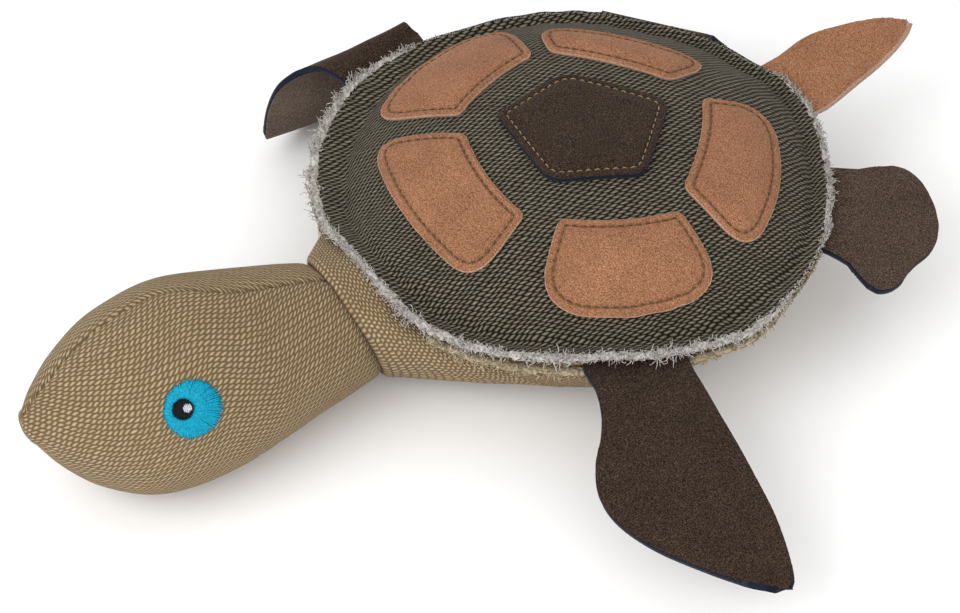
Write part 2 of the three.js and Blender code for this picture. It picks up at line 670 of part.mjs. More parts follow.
// An eye is a ring of cyan stitches, a dark disc in it and a light dot on the disc
function eyePiece(side, forward, low, high, radius, hole = 0, holeForward = 0) {
  const layer = solid(headBlank(high)).subtract(solid(headBlank(low)));
  const post = (r, ahead) => {
    const cylinder = new THREE.CylinderGeometry(r, r, EYE_TOOL.length, HEAD_FACETS);
    cylinder.rotateZ(-Math.PI / 2).translate(EYE_TOOL.out, 0, 0).rotateY(-radians(EYE_ANGLE));
    cylinder.scale(side, 1, 1).translate(0, EYE_Y - ahead, 0);
    return solid(cylinder);
  };
  const disc = layer.intersect(post(radius, forward));
  const cut = hole > 0 ? disc.subtract(post(hole, holeForward)) : disc;
  return reshape(geometryOf(cut), toHeadShape);
}

for (const [name, side] of [['left', 1], ['right', -1]]) {
  const low = GAP;
  const high = GAP + EMBROIDERY;
  const iris = eyePiece(side, 0, low, high, IRIS_RADIUS, PUPIL_RADIUS + GAP, PUPIL_FORWARD);
  addPiece(`${name}_iris`, iris, materials.cyan);
  const pupil = eyePiece(side, PUPIL_FORWARD, low, high, PUPIL_RADIUS);
  addPiece(`${name}_pupil`, pupil, materials.navy);
  const dot = eyePiece(side, HIGHLIGHT_FORWARD, high + GAP, high + GAP + EMBROIDERY / 2, HIGHLIGHT_RADIUS);
  addPiece(`${name}_highlight`, dot, materials.white);
}

addFlap({
  name: 'front_left_flipper', rootAngle: FRONT_ROOT_ANGLE, direction: FRONT_LEFT_DIRECTION,
  width: FRONT_ROOT_WIDTH, cut: cutBetweenEdges(FRONT_OUTLINE, 1), bend: FRONT_LEFT_BEND,
  cells: [12, 5], material: materials.brown,
});
addFlap({
  name: 'front_right_flipper', rootAngle: FRONT_RIGHT_ROOT_ANGLE, direction: FRONT_RIGHT_ROOT_ANGLE,
  width: FRONT_ROOT_WIDTH, cut: cutBetweenEdges(FRONT_OUTLINE, -1), bend: FRONT_RIGHT_BEND,
  fold: FRONT_RIGHT_FOLD, cells: [22, 5], material: materials.brown,
});
for (const [name, side, bend] of [
  ['rear_left_flipper', 1, REAR_LEFT_BEND], ['rear_right_flipper', -1, REAR_RIGHT_BEND],
]) {
  const angle = side > 0 ? REAR_ROOT_ANGLE : 180 - REAR_ROOT_ANGLE;
  addFlap({
    name, rootAngle: angle, direction: angle, width: REAR_ROOT_WIDTH,
    cut: cutFan(REAR_EDGE, REAR_ROOT_WIDTH, -side), bend, cells: [6, 14], material: materials.brown,
  });
}
addFlap({
  name: 'tail', rootAngle: 90, offset: TAIL_OFFSET, direction: 90, width: TAIL_ROOT_WIDTH,
  cut: cutBetweenEdges(TAIL_OUTLINE, -1), bend: TAIL_BEND, cells: [10, 4], material: materials.tan,
});

export default toy;
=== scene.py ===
# %% [markdown]
# This lesson dresses a stuffed turtle toy for a dog. The toy is sewn: an olive canvas shell over
# a khaki canvas belly, suede patches stitched on the shell, leather flippers and a tail caught in
# the rim seam, and a stuffed canvas head with embroidered eyes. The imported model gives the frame,
# and every piece made here rides on one of its bodies, so the first step is to load it.

# %% Load the frame
import bisect
import json
import random
from itertools import accumulate
from math import asin, atan2, cos, degrees, dist, exp, hypot, pi, radians, sin, sqrt, tan

import bmesh
import bpy
from mathutils import Matrix, Vector, kdtree, noise


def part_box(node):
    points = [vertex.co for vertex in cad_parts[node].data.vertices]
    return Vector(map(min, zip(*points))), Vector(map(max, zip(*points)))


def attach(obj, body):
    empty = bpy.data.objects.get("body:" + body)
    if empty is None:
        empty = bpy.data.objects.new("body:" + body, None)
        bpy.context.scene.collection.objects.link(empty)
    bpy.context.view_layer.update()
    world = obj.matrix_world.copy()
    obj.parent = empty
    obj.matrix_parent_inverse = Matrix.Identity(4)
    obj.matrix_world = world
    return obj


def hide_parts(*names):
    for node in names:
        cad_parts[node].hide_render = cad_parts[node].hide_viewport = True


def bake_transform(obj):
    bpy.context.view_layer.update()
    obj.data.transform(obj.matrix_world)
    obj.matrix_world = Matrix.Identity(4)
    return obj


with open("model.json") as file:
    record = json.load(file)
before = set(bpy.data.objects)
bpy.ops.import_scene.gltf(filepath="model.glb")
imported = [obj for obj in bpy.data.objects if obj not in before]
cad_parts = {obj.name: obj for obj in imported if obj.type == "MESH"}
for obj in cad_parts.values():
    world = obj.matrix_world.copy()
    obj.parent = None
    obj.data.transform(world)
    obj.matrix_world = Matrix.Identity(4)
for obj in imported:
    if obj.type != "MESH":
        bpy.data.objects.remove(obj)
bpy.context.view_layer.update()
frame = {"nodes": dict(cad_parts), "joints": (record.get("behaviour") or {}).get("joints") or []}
MM = 0.001

# %% [markdown]
# The photograph looks down on the toy's left side. The camera stands where a fit of the rim, the
# head and the flippers put it. It first aims at the middle of the shell's rim, with the toy's
# vertical upright in the picture, and is then turned the little way that brings the middle of
# the picture to the middle of the frame.

# %% Camera
PICTURE_WIDTH = 960
PICTURE_HEIGHT = 613
FOCAL_PIXELS = 4096
RIM_MIDDLE_PIXEL = (581.4, 182.2)
CAMERA_AZIMUTH = radians(57.62)
CAMERA_ELEVATION = radians(45.29)
CAMERA_DISTANCE = 1497 * MM
RIM_HEIGHT = 45 * MM
SENSOR_WIDTH = 36


def put_in_scene(name, data):
    """A new object in the scene, with its data."""
    made = bpy.data.objects.new(name, data)
    bpy.context.scene.collection.objects.link(made)
    return made


camera_back = Vector((
    sin(CAMERA_AZIMUTH) * cos(CAMERA_ELEVATION),
    -cos(CAMERA_AZIMUTH) * cos(CAMERA_ELEVATION),
    sin(CAMERA_ELEVATION),
))
camera_right = Vector((cos(CAMERA_AZIMUTH), sin(CAMERA_AZIMUTH), 0))
camera_up = camera_back.cross(camera_right)
across = (PICTURE_WIDTH / 2 - RIM_MIDDLE_PIXEL[0]) / FOCAL_PIXELS
down = (PICTURE_HEIGHT / 2 - RIM_MIDDLE_PIXEL[1]) / FOCAL_PIXELS
centre_ray = -camera_back + camera_right * across - camera_up * down
aim_turn = (-camera_back).rotation_difference(centre_ray)
upright = Matrix((camera_right, camera_up, camera_back)).transposed()

camera_data = bpy.data.cameras.new("camera")
camera_data.sensor_width = SENSOR_WIDTH
camera_data.lens = FOCAL_PIXELS * SENSOR_WIDTH / PICTURE_WIDTH
camera = put_in_scene("camera", camera_data)
camera.matrix_world = (
    Matrix.Translation(Vector((0, 0, RIM_HEIGHT)) + camera_back * CAMERA_DISTANCE)
    @ (aim_turn.to_matrix() @ upright).to_4x4()
)
bpy.context.scene.camera = camera
bpy.context.scene.view_settings.view_transform = "Standard"
print("lens", round(camera_data.lens, 1), "mm")

# %% [markdown]
# The photograph has even, soft light and a white ground. A pale floor takes the toy's shadow, a
# bright world fills the shadows, and two large soft lamps, a stronger one in front and a weaker one
# at the right, model the forms.

# %% Light and floor
FLOOR_SIZE = 6.0
WORLD_COLOUR = (1.0, 1.0, 1.0, 1.0)
WORLD_STRENGTH = 0.92
LAMPS = (
    ("key", (0.2, -1.15, 1.0), 1.1, 9.0),
    ("fill", (1.2, -0.4, 0.9), 1.4, 5.0),
)


def add_node(tree, kind, inputs=None, **settings):
    """Adds a node, sets its settings, and links or sets each of its inputs."""
    added = tree.nodes.new(kind)
    for key, value in settings.items():
        setattr(added, key, value)
    for key, value in (inputs or {}).items():
        if isinstance(value, bpy.types.NodeSocket):
            tree.links.new(value, added.inputs[key])
        else:
            added.inputs[key].default_value = value
    return added


def linear(hex_colour):
    """The linear colour of an sRGB hex value such as 4a4a3a."""
    channels = [int(hex_colour[i:i + 2], 16) / 255 for i in (0, 2, 4)]
    return [c / 12.92 if c <= 0.04045 else ((c + 0.055) / 1.055) ** 2.4 for c in channels] + [1.0]


def start_material(name):
    """A new material, its node tree and its shader."""
    made = bpy.data.materials.new(name)
    made.use_nodes = True
    return made, made.node_tree, made.node_tree.nodes["Principled BSDF"]


def plain_material(name, colour, roughness):
    """A material of one even colour."""
    made, _, skin = start_material(name)
    skin.inputs["Base Color"].default_value = linear(colour)
    skin.inputs["Roughness"].default_value = roughness
    return made


world = bpy.data.worlds.new("studio")
world.use_nodes = True
bpy.context.scene.world = world
sky = world.node_tree
sky.nodes.clear()
path = add_node(sky, "ShaderNodeLightPath")
glow = add_node(sky, "ShaderNodeBackground", {"Color": WORLD_COLOUR, "Strength": WORLD_STRENGTH})
backdrop = add_node(sky, "ShaderNodeBackground", {"Color": WORLD_COLOUR, "Strength": 1.0})
shown = add_node(sky, "ShaderNodeMixShader", {0: path.outputs["Is Camera Ray"],
                                              1: glow.outputs[0], 2: backdrop.outputs[0]})
add_node(sky, "ShaderNodeOutputWorld", {"Surface": shown.outputs[0]})

for lamp_name, place, size, power in LAMPS:
    lamp_data = bpy.data.lights.new(lamp_name, "AREA")
    lamp_data.shape = "DISK"
    lamp_data.size = size
    lamp_data.energy = power
    lamp = put_in_scene(lamp_name, lamp_data)
    lamp.location = place
    lamp.rotation_euler = Vector(place).to_track_quat("Z", "Y").to_euler()

floor_shape = bmesh.new()
bmesh.ops.create_grid(floor_shape, x_segments=1, y_segments=1, size=FLOOR_SIZE / 2)
floor_mesh = bpy.data.meshes.new("floor")
floor_shape.to_mesh(floor_mesh)
floor_shape.free()
floor = put_in_scene("floor", floor_mesh)
floor.data.materials.append(plain_material("matt_white_floor", "ffffff", 0.9))
print("lamps:", len(LAMPS))

# %% [markdown]
# Both canvases are a coarse weave whose yarns lie on top in short slanted floats, in rows about
# 2 mm apart, each row half a float out of step with the next. A float fills a slanted cell of
# its row, and the gaps between the floats get a painted shade: a dark colour mixed in where a
# float falls away at its edge. The pattern is drawn on the cloth's own UV map, which holds
# millimetres, so that it keeps its real size on every piece and follows how it was cut.

# %% Woven canvas
ROW_STEP = 0.46
FLOAT_LEAN = radians(42)
FLOAT_HEIGHT = 0.5 * MM
FIBRE_RELIEF = 0.18
DRIFT = 2.2


def calc(tree, operation, *values):
    """Result of a calculation on one to three values."""
    return add_node(tree, "ShaderNodeMath", dict(enumerate(values)), operation=operation).outputs[0]


def vector_calc(tree, operation, *values):
    """Result of a calculation on two or three vectors."""
    return add_node(tree, "ShaderNodeVectorMath", dict(enumerate(values)), operation=operation).outputs[0]


def plane_point(tree, x, y):
    """A vector in the plane."""
    return add_node(tree, "ShaderNodeCombineXYZ", {"X": x, "Y": y}).outputs[0]


def remap(tree, value, low, high, first, last, course="LINEAR"):
    """Runs from first to last while the value runs from low to high."""
    inputs = {0: value, 1: low, 2: high, 3: first, 4: last}
    return add_node(tree, "ShaderNodeMapRange", inputs, interpolation_type=course).outputs[0]


def grain(tree, where, scale, detail, output="Fac", **inputs):
    """Soft noise at a place."""
    inputs = {"Vector": where, "Scale": scale, "Detail": detail, **inputs}
    return add_node(tree, "ShaderNodeTexNoise", inputs).outputs[output]


def blended(tree, share, first, second):
    """A colour between two others."""
    inputs = {"Factor": share, "A": first, "B": second}
    return add_node(tree, "ShaderNodeMix", inputs, data_type="RGBA").outputs["Result"]


def dimmed(tree, colour, share):
    """A colour times a number."""
    return add_node(tree, "ShaderNodeVectorMath", {0: colour, "Scale": share}, operation="SCALE").outputs[0]


def dress(tree, skin, colour, height, relief, strength, roughness, specular, sheen):
    """Gives the shader its colour, its relief and its shine."""
    tree.links.new(colour, skin.inputs["Base Color"])
    bump = add_node(tree, "ShaderNodeBump", {"Height": height, "Distance": relief, "Strength": strength})
    tree.links.new(bump.outputs[0], skin.inputs["Normal"])
    skin.inputs["Roughness"].default_value = roughness
    skin.inputs["Specular IOR Level"].default_value = specular
    skin.inputs["Sheen Weight"].default_value = sheen


def canvas(name, light, warm, gap_shade, float_pitch, row_pitch, float_width):
    """Cotton canvas: matt, with light floats, painted shade in the gaps and yarns that differ a little.

    The pitches are in millimetres, and the width is a float's share of its cell.
    """
    made, tree, skin = start_material(name)
    uv = add_node(tree, "ShaderNodeUVMap", uv_map="cloth").outputs[0]
    centred = vector_calc(tree, "SUBTRACT", grain(tree, uv, 0.12, 2.0, "Color"), (0.5, 0.5, 0.5))
    moved = vector_calc(tree, "MULTIPLY_ADD", centred, (DRIFT, DRIFT, 0), uv)
    split = add_node(tree, "ShaderNodeSeparateXYZ", {0: moved}).outputs
    rows = calc(tree, "DIVIDE", split["Y"], row_pitch)
    row = calc(tree, "FLOOR", rows)
    aside = calc(tree, "MULTIPLY_ADD", calc(tree, "FRACT", rows), 2.0, -1.0)
    step = calc(tree, "MULTIPLY_ADD", row, ROW_STEP, calc(tree, "DIVIDE", split["X"], float_pitch))
    slant = -row_pitch / 2 / tan(FLOAT_LEAN) / float_pitch
    skewed = calc(tree, "MULTIPLY_ADD", aside, slant, step)
    in_float = calc(tree, "FRACT", skewed)
    across = calc(tree, "MULTIPLY_ADD", in_float, 2 / float_width, -1 / float_width)
    from_middle = plane_point(tree, across, calc(tree, "MULTIPLY", aside, aside))
    reach = add_node(tree, "ShaderNodeVectorMath", {0: from_middle}, operation="LENGTH")
    height = remap(tree, reach.outputs["Value"], 1.12, 0.1, 0.0, 1.0, "SMOOTHSTEP")
    cell = plane_point(tree, calc(tree, "FLOOR", skewed), row)
    chance = add_node(tree, "ShaderNodeTexWhiteNoise", {0: cell}, noise_dimensions="2D")
    in_cell = plane_point(tree, across, aside)
    fibre_space = vector_calc(tree, "MULTIPLY_ADD", cell, (7.3, 3.7, 0), in_cell)
    fibre = grain(tree, vector_calc(tree, "MULTIPLY", fibre_space, (2.6, 0.9, 1)), 1.0, 3.0)
    tone = calc(tree, "MULTIPLY", chance.outputs["Value"], grain(tree, uv, 0.05, 3.0))
    yarn = blended(tree, tone, linear(light), linear(warm))
    shaded = dimmed(tree, yarn, remap(tree, fibre, 0.25, 0.75, 0.72, 1.12))
    # Painted shade: the gap colour is mixed in where a float's height falls off, at its edges and between
    # floats
    colour = blended(tree, remap(tree, height, 0.0, 0.95, 0.0, 1.0), linear(gap_shade), shaded)
    relief = calc(tree, "MULTIPLY_ADD", fibre, FIBRE_RELIEF, height)
    dress(tree, skin, colour, relief, FLOAT_HEIGHT, 0.9, 0.9, 0.15, 0.04)
    return made


# The last colour of each canvas is the painted shade in the gaps between its floats
OLIVE_CANVAS = canvas("olive_cotton_canvas", "8a816d", "5d5341", "0b0905", 2.4, 1.97, 0.8)
KHAKI_CANVAS = canvas("khaki_cotton_canvas", "bda683", "a18962", "64523a", 2.12, 2.15, 0.86)
print("canvases: 2")

# %% [markdown]
# Suede is the split side of a hide, brushed until short fibres stand up. It scatters light
# evenly, with a soft sheen at grazing angles, and shows fine dark and light specks where the nap
# lies in different ways. The specks are about 0.5 mm, as coarse as the picture can show. Where a
# piece carries the groove attribute, the leather is darker: a painted shade along the stitching
# groove and a deeper painted shade in the needle holes.

# %% Suede and cut edges
SPECK = 0.45 * MM
NAP_RELIEF = 0.12 * MM
BRUSHING = 60.0


def suede(name, base, dark, pale, contrast):
    """Brushed suede: a speckled matt colour with a fine nap."""
    made, tree, skin = start_material(name)
    where = add_node(tree, "ShaderNodeTexCoord").outputs["Object"]
    speck = grain(tree, where, 1 / SPECK, 4.0, Roughness=0.7)
    dark_part = remap(tree, speck, 0.52, 0.36, 0.0, 0.8 * contrast)
    pale_part = remap(tree, speck, 0.5, 0.68, 0.0, 0.55 * contrast)
    darker = blended(tree, dark_part, linear(base), linear(dark))
    paler = blended(tree, pale_part, darker, linear(pale))
    brushed = dimmed(tree, paler, remap(tree, grain(tree, where, BRUSHING, 3.0), 0.3, 0.7, 0.9, 1.1))
    # Painted shade: darker where the groove attribute marks the stitching groove and the needle holes
    groove = add_node(tree, "ShaderNodeAttribute", attribute_name="groove")
    sewn = dimmed(tree, brushed, remap(tree, groove.outputs["Fac"], 0.0, 1.0, 1.0, 0.3))
    dress(tree, skin, sewn, speck, NAP_RELIEF, 0.8, 0.92, 0.1, 0.05)
    return made


TAN_SUEDE = suede("tan_brushed_suede", "946548", "5f3d28", "bf9478", 1.35)
TAN_EDGE = suede("tan_cut_edge", "a98670", "7b5a48", "cdb3a4", 1.1)
BROWN_SUEDE = suede("brown_brushed_suede", "30241d", "140e0a", "675342", 1.5)
# A paler copy of the brown suede for the rear flippers: painted light, as they catch more light and sheen
# than the front ones
LIT_BROWN_SUEDE = suede("painted_light_brown_suede", "43352c", "1f1612", "7d6858", 1.5)
GREY_SUEDE = suede("grey_brown_flesh_side", "63564d", "43382f", "8b7c70", 1.2)
NAVY_EDGE = suede("navy_dyed_cut_edge", "171c29", "0c0f18", "323a4c", 0.8)
print("suede specks", SPECK / MM, "mm")

# %% [markdown]
# Threads, frayed yarns and the embroidery's floss are all spun fibre. Each has one colour with
# light and dark stretches, a soft shine along the floss, and almost none on cotton.

# %% Thread and yarn
STRAND_RELIEF = 0.06 * MM


def thread(name, base, dark, roughness, streak=900.0, sheen=0.1):
    """Spun thread: one colour that varies a little along and between the strands."""
    made, tree, skin = start_material(name)
    where = add_node(tree, "ShaderNodeTexCoord").outputs["Object"]
    strand = grain(tree, where, streak, 2.0)
    colour = blended(tree, remap(tree, strand, 0.35, 0.65, 0.0, 1.0), linear(dark), linear(base))
    dress(tree, skin, colour, strand, STRAND_RELIEF, 0.6, roughness, 0.2, sheen)
    return made


SHELL_YARN = thread("off_white_frayed_cotton", "c6c1bb", "8b8680", 0.95)
BELLY_YARN = thread("beige_frayed_cotton", "c0b196", "8b7b60", 0.95)
TAN_THREAD = thread("tan_sewing_thread", "9c8460", "725c3e", 0.6)
BROWN_THREAD = thread("olive_brown_sewing_thread", "69512a", "47341a", 0.6)
CYAN_FLOSS = thread("cyan_polyester_floss", "00a2bf", "0083a2", 0.5, 1400.0, 0.0)
# A darker copy of the cyan floss: painted shade for the groups of threads that catch less light
SHADED_CYAN_FLOSS = thread("shaded_cyan_polyester_floss", "007c98", "005c77", 0.5, 1400.0, 0.0)
NAVY_FLOSS = thread("blue_black_polyester_floss", "0b0d13", "050609", 0.55, 1400.0, 0.0)
GREY_FLOSS = thread("pale_grey_polyester_floss", "ced2da", "a4a9b5", 0.4, 1400.0)
FIBRE = thread("loose_polyester_fibre", "eeece6", "cfccc4", 0.95, 300.0)
PLASTIC = plain_material("translucent_vinyl", "d8d8d0", 0.4)
print("threads: 9")

# %% [markdown]
# A few helpers make and finish the meshes. A sheet starts as a flat grid whose corners are then
# moved, which suits cloth and leather. Strands are curves with a round bevel, turned into one
# mesh, which suits thousands of short threads. Another puts a mesh in the scene, on its body.

# %% Mesh helpers
def smooth_table(rows):
    """A smooth function through rows of (place, value)."""
    rows = sorted(rows)
    xs = [row[0] for row in rows]
    ys = [row[1] for row in rows]
    slopes = []
    for i in range(len(rows)):
        low, high = max(i - 1, 0), min(i + 1, len(rows) - 1)
        slopes.append((ys[high] - ys[low]) / (xs[high] - xs[low]))

    def value(x):
        x = min(max(x, xs[0]), xs[-1])
        i = max(k for k in range(len(xs) - 1) if xs[k] <= x)
        width = xs[i + 1] - xs[i]
        t = (x - xs[i]) / width
        start = (2 * t ** 3 - 3 * t ** 2 + 1) * ys[i] + (t ** 3 - 2 * t ** 2 + t) * width * slopes[i]
        end = (3 * t ** 2 - 2 * t ** 3) * ys[i + 1] + (t ** 3 - t ** 2) * width * slopes[i + 1]
        return start + end

    return value


def smoothstep(low, high, x):
    t = min(max((x - low) / (high - low), 0.0), 1.0)
    return t * t * (3 - 2 * t)


def bell(x, width):
    """Falls from 1 at zero to nearly nothing at twice the width, on both sides."""
    return exp(-(x / width) ** 2)


def rough(x, y, z, size=1.0):
    """Soft noise at a place, with lumps of about a size."""
    return noise.noise(Vector((x, y, z)) / size)


def mix(a, b, t):
    return a + (b - a) * t


def sheet(columns, rows, place, toward, cloth=None, paint=None, mark=None):
    """A grid whose corner at (s, t), each from 0 to 1, goes to place(s, t).

    Its first face is turned toward a direction. The cloth function gives UV in millimetres, paint
    gives a face's material number, and mark gives each corner's share of the painted shade in the
    stitching groove and its needle holes, kept in the groove attribute.
    """
    shape = bmesh.new()
    bmesh.ops.create_grid(shape, x_segments=columns, y_segments=rows, size=0.5)
    if cloth:
        layer = shape.loops.layers.uv.new("cloth")
        for face in shape.faces:
            for loop in face.loops:
                loop[layer].uv = cloth(loop.vert.co.x + 0.5, loop.vert.co.y + 0.5)
    if paint:
        for face in shape.faces:
            middle = face.calc_center_median()
            face.material_index = paint(middle.x + 0.5, middle.y + 0.5)
    groove = shape.verts.layers.float.new("groove") if mark else None
    for vert in shape.verts:
        at_s, at_t = vert.co.x + 0.5, vert.co.y + 0.5
        vert.co = place(at_s, at_t)
        if mark:
            vert[groove] = mark(at_s, at_t)
    bmesh.ops.remove_doubles(shape, verts=shape.verts, dist=0.005 * MM)
    shape.normal_update()
    shape.faces.ensure_lookup_table()
    if shape.faces[0].normal.dot(Vector(toward)) < 0:
        bmesh.ops.reverse_faces(shape, faces=shape.faces)
    return shape


def add_piece(name, shape, materials, body, slot, stands_for, wall=0.0, wall_side=-1.0, even=True):
    """Puts a bmesh in the scene as a finished piece; a wall gives an open sheet its thickness."""
    mesh = bpy.data.meshes.new(name)
    shape.to_mesh(mesh)
    shape.free()
    mesh.shade_smooth()
    made = put_in_scene(name, mesh)
    for material in materials:
        mesh.materials.append(material)
    if wall:
        thick = made.modifiers.new("wall", "SOLIDIFY")
        thick.thickness = wall
        thick.offset = wall_side
        thick.use_even_offset = even
        thick.material_offset_rim = 1 if len(materials) > 1 else 0
        thick.material_offset = 2 if len(materials) > 2 else 0
        apply_modifiers(made)
    if body:
        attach(made, body)
    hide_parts(*stands_for)
    return made


def apply_modifiers(made):
    """Replaces an object's mesh by what its modifiers make of it."""
    bpy.context.view_layer.update()
    evaluated = made.evaluated_get(bpy.context.evaluated_depsgraph_get())
    final = bpy.data.meshes.new_from_object(evaluated)
    made.modifiers.clear()
    made.data = final


def strands(paths, thickness, sides=1, tone=None):
    """One bmesh of round strands; each path is a list of points with the share of the thickness there.

    The tone function gives a strand's material number by its place in the list.
    """
    curve = bpy.data.curves.new("strands", "CURVE")
    curve.dimensions = "3D"
    curve.bevel_depth = thickness / 2
    curve.bevel_resolution = sides
    curve.use_fill_caps = True
    for number, points in enumerate(paths):
        line = curve.splines.new("POLY")
        line.material_index = tone(number) if tone else 0
        line.points.add(len(points) - 1)
        for spot, (point, share) in zip(line.points, points):
            spot.co = (*point, 1.0)
            spot.radius = share
    holder = put_in_scene("strands", curve)
    bpy.context.view_layer.update()
    evaluated = holder.evaluated_get(bpy.context.evaluated_depsgraph_get())
    shape = bmesh.new()
    shape.from_mesh(evaluated.to_mesh())
    evaluated.to_mesh_clear()
    bpy.data.objects.remove(holder)
    bpy.data.curves.remove(curve)
    bmesh.ops.remove_doubles(shape, verts=shape.verts, dist=0.002 * MM)
    return shape


print("helpers ready")

# %% [markdown]
# The shell is a round of olive canvas, stuffed to a low dome and sewn down in a flat rim. The
# dome's height at a share of the way out comes from one formula, and the neck lifts the rim in
# front. Hand-stuffed cloth isn't even, so slow hollows and small puckers at the rim are added,
# and everything that lies on the shell later asks the same function for its height.

# %% Shape of the shell
_, shell_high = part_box("shell_cover")
RIM_HALF_WIDTH = shell_high.x
RIM_HALF_LENGTH = shell_high.y
SEAM_INSET = 7 * MM
DOME_FOOT = 2 * MM
DOME_RISE = 23.5 * MM
DOME_FULLNESS = 2.9
NECK_LIFT = 8 * MM
NECK_LIFT_HALF_WIDTH = 24 * MM
NECK_LIFT_START = 68 * MM
NECK_LIFT_FULL = 88 * MM
SEAM_GROOVE = 1.5 * MM
SEAM_GROOVE_WIDTH = 1.2 * MM
FLANGE_CURL = 1.3 * MM
HOLLOWS = 0.6 * MM
HOLLOW_SIZE = 26 * MM
PUCKERS = 0.3 * MM
CLOTH = 1.2 * MM
# How far the hand-cut edge lies outside a true round, in degrees round the shell and millimetres,
# and how far the leather under it lifts it there
RIM_SHIFT = [
    (-180, 0), (-168, 2.5), (-155, 5), (-135, 5.4), (-122, 4.5), (-110, 2.8), (-97, 0), (-75, -1), (-60, -2),
    (-45, -3.2), (-28, -4), (-14, -2.2), (-3, -0.6), (6, 1.8), (20, 0.8), (35, 0), (50, -2), (66, -2.2),
    (78, -0.5), (92, 0.4), (103, -2.6), (117, -3), (130, -4.2), (145, -2.6), (165, -1.4), (180, 0),
]
RIM_LIFT = [
    (-180, 0), (-70, 0), (-48, 1.4), (-28, 3), (-10, 1.4), (6, 0), (36, 0), (52, 0.8), (70, 0), (180, 0),
]
SEAM_RADIUS = RIM_HALF_WIDTH - SEAM_INSET
ROUNDNESS = RIM_HALF_WIDTH / RIM_HALF_LENGTH
shift_at = smooth_table(RIM_SHIFT)
lift_at = smooth_table(RIM_LIFT)


def rim_shift(around):
    """How far the rim lies outside a true round, at an angle round the shell in radians."""
    return shift_at(degrees(atan2(sin(around), cos(around)))) * MM


def on_oval(radius, around):
    """Point at an angle round the shell, for a radius as if the rim were a true round."""
    return radius * cos(around), radius * sin(around) / ROUNDNESS


def ring_noise(around, size, height):
    """Noise read on a circle, so that it closes after a full turn."""
    return rough(size * cos(around), size * sin(around), height)


def rim_radius(x, y):
    """Distance from the shell's middle, measured as if the rim were a true round.

    Where the edge lies outside the round, only the flat rim is wider. Where it is drawn in, the
    dome's foot is drawn in with it.
    """
    radius = hypot(x, y * ROUNDNESS)
    if radius < 0.5 * SEAM_RADIUS:
        return radius
    shift = rim_shift(atan2(y * ROUNDNESS, x))
    if shift > 0:
        return radius - shift * min(max((radius - SEAM_RADIUS) / (SEAM_INSET + shift), 0.0), 1.0)
    return radius - shift * smoothstep(0.55, 0.95, radius / SEAM_RADIUS)


def shell_height(x, y):
    """Height of the shell's canvas over a point, seam groove, hollows and puckers included."""
    radius = rim_radius(x, y)
    share = radius / SEAM_RADIUS
    height = RIM_HEIGHT + DOME_FOOT + DOME_RISE * max(1 - min(share, 1.0) ** DOME_FULLNESS, 0.0)
    past_seam = (radius - SEAM_RADIUS) / SEAM_INSET
    height -= DOME_FOOT * smoothstep(0, 0.3, past_seam)
    height += FLANGE_CURL * smoothstep(0.25, 1.0, past_seam)
    height -= SEAM_GROOVE * bell(radius - SEAM_RADIUS - 0.4 * MM, SEAM_GROOVE_WIDTH)
    around = atan2(y * ROUNDNESS, x)
    near_rim = smoothstep(0.8, 0.97, share)
    height += PUCKERS * near_rim * (sin(34 * around + 3 * sin(5 * around)) - 0.4)
    height += HOLLOWS * rough(x, y, 0, HOLLOW_SIZE) * smoothstep(1.05, 0.7, share)
    if share > 0.85:
        height += lift_at(degrees(around)) * MM * smoothstep(0.85, 1.08, share)
    lifted = bell(x, NECK_LIFT_HALF_WIDTH) * smoothstep(NECK_LIFT_START, NECK_LIFT_FULL, -y)
    return height + NECK_LIFT * lifted


def on_shell(x, y, raise_by=0.0):
    return Vector((x, y, shell_height(x, y) + raise_by))


CLOTH_TURN = radians(47.6)


def shell_arc(radius):
    """Length of canvas in millimetres from the crown to a radius, over the dome and then flat."""
    on_dome = min(radius, SEAM_RADIUS)
    return (on_dome * (1 + 0.14 * (on_dome / SEAM_RADIUS) ** 3) + 0.95 * max(radius - SEAM_RADIUS, 0)) / MM


def round_cloth(x, y):
    """UV in millimetres of a round of cloth laid over a dome, its rows turned to CLOTH_TURN."""
    radius = hypot(x, y)
    stretch = shell_arc(radius) / (radius / MM) if radius > 0 else 1.0
    u = (x * cos(CLOTH_TURN) + y * sin(CLOTH_TURN)) / MM * stretch
    v = (-x * sin(CLOTH_TURN) + y * cos(CLOTH_TURN)) / MM * stretch
    return u, v


print("shell from", round(2 * RIM_HALF_WIDTH / MM), "by", round(2 * RIM_HALF_LENGTH / MM), "mm")

# %% [markdown]
# The canvas itself starts as a grid of rings and spokes. The rings lie closer near the rim, where
# the cloth turns down into the seam. A wall of canvas thickness closes it underneath.

# %% Shell canvas
SHELL_SPOKES = 240
SHELL_RINGS = 96
RING_SPACING = 1.35
RIM_WAVE = 0.8 * MM


def shell_spot(s, t):
    """Place on the canvas: s round the shell, t from crown to rim."""
    around = 2 * pi * s
    wave = RIM_WAVE * ring_noise(around, 3, 4.0)
    edge = RIM_HALF_WIDTH + rim_shift(around) + wave * smoothstep(0.8, 1.0, t)
    return on_oval(edge * (1 - (1 - t) ** RING_SPACING), around)


shell_shape = sheet(
    SHELL_SPOKES, SHELL_RINGS,
    lambda s, t: on_shell(*shell_spot(s, t)),
    (0, 0, 1),
    lambda s, t: round_cloth(*shell_spot(s, t)),
)
shell = add_piece("shell_canvas", shell_shape, [OLIVE_CANVAS], "body", "olive_canvas", ["shell_cover"],
                  wall=CLOTH)
print("shell faces", len(shell.data.polygons))

# %% [markdown]
# The belly is the same kind of round in khaki canvas, stuffed downwards. It is widest just under
# the rim, rests on the flat that its own weight presses, and opens in front for the neck.

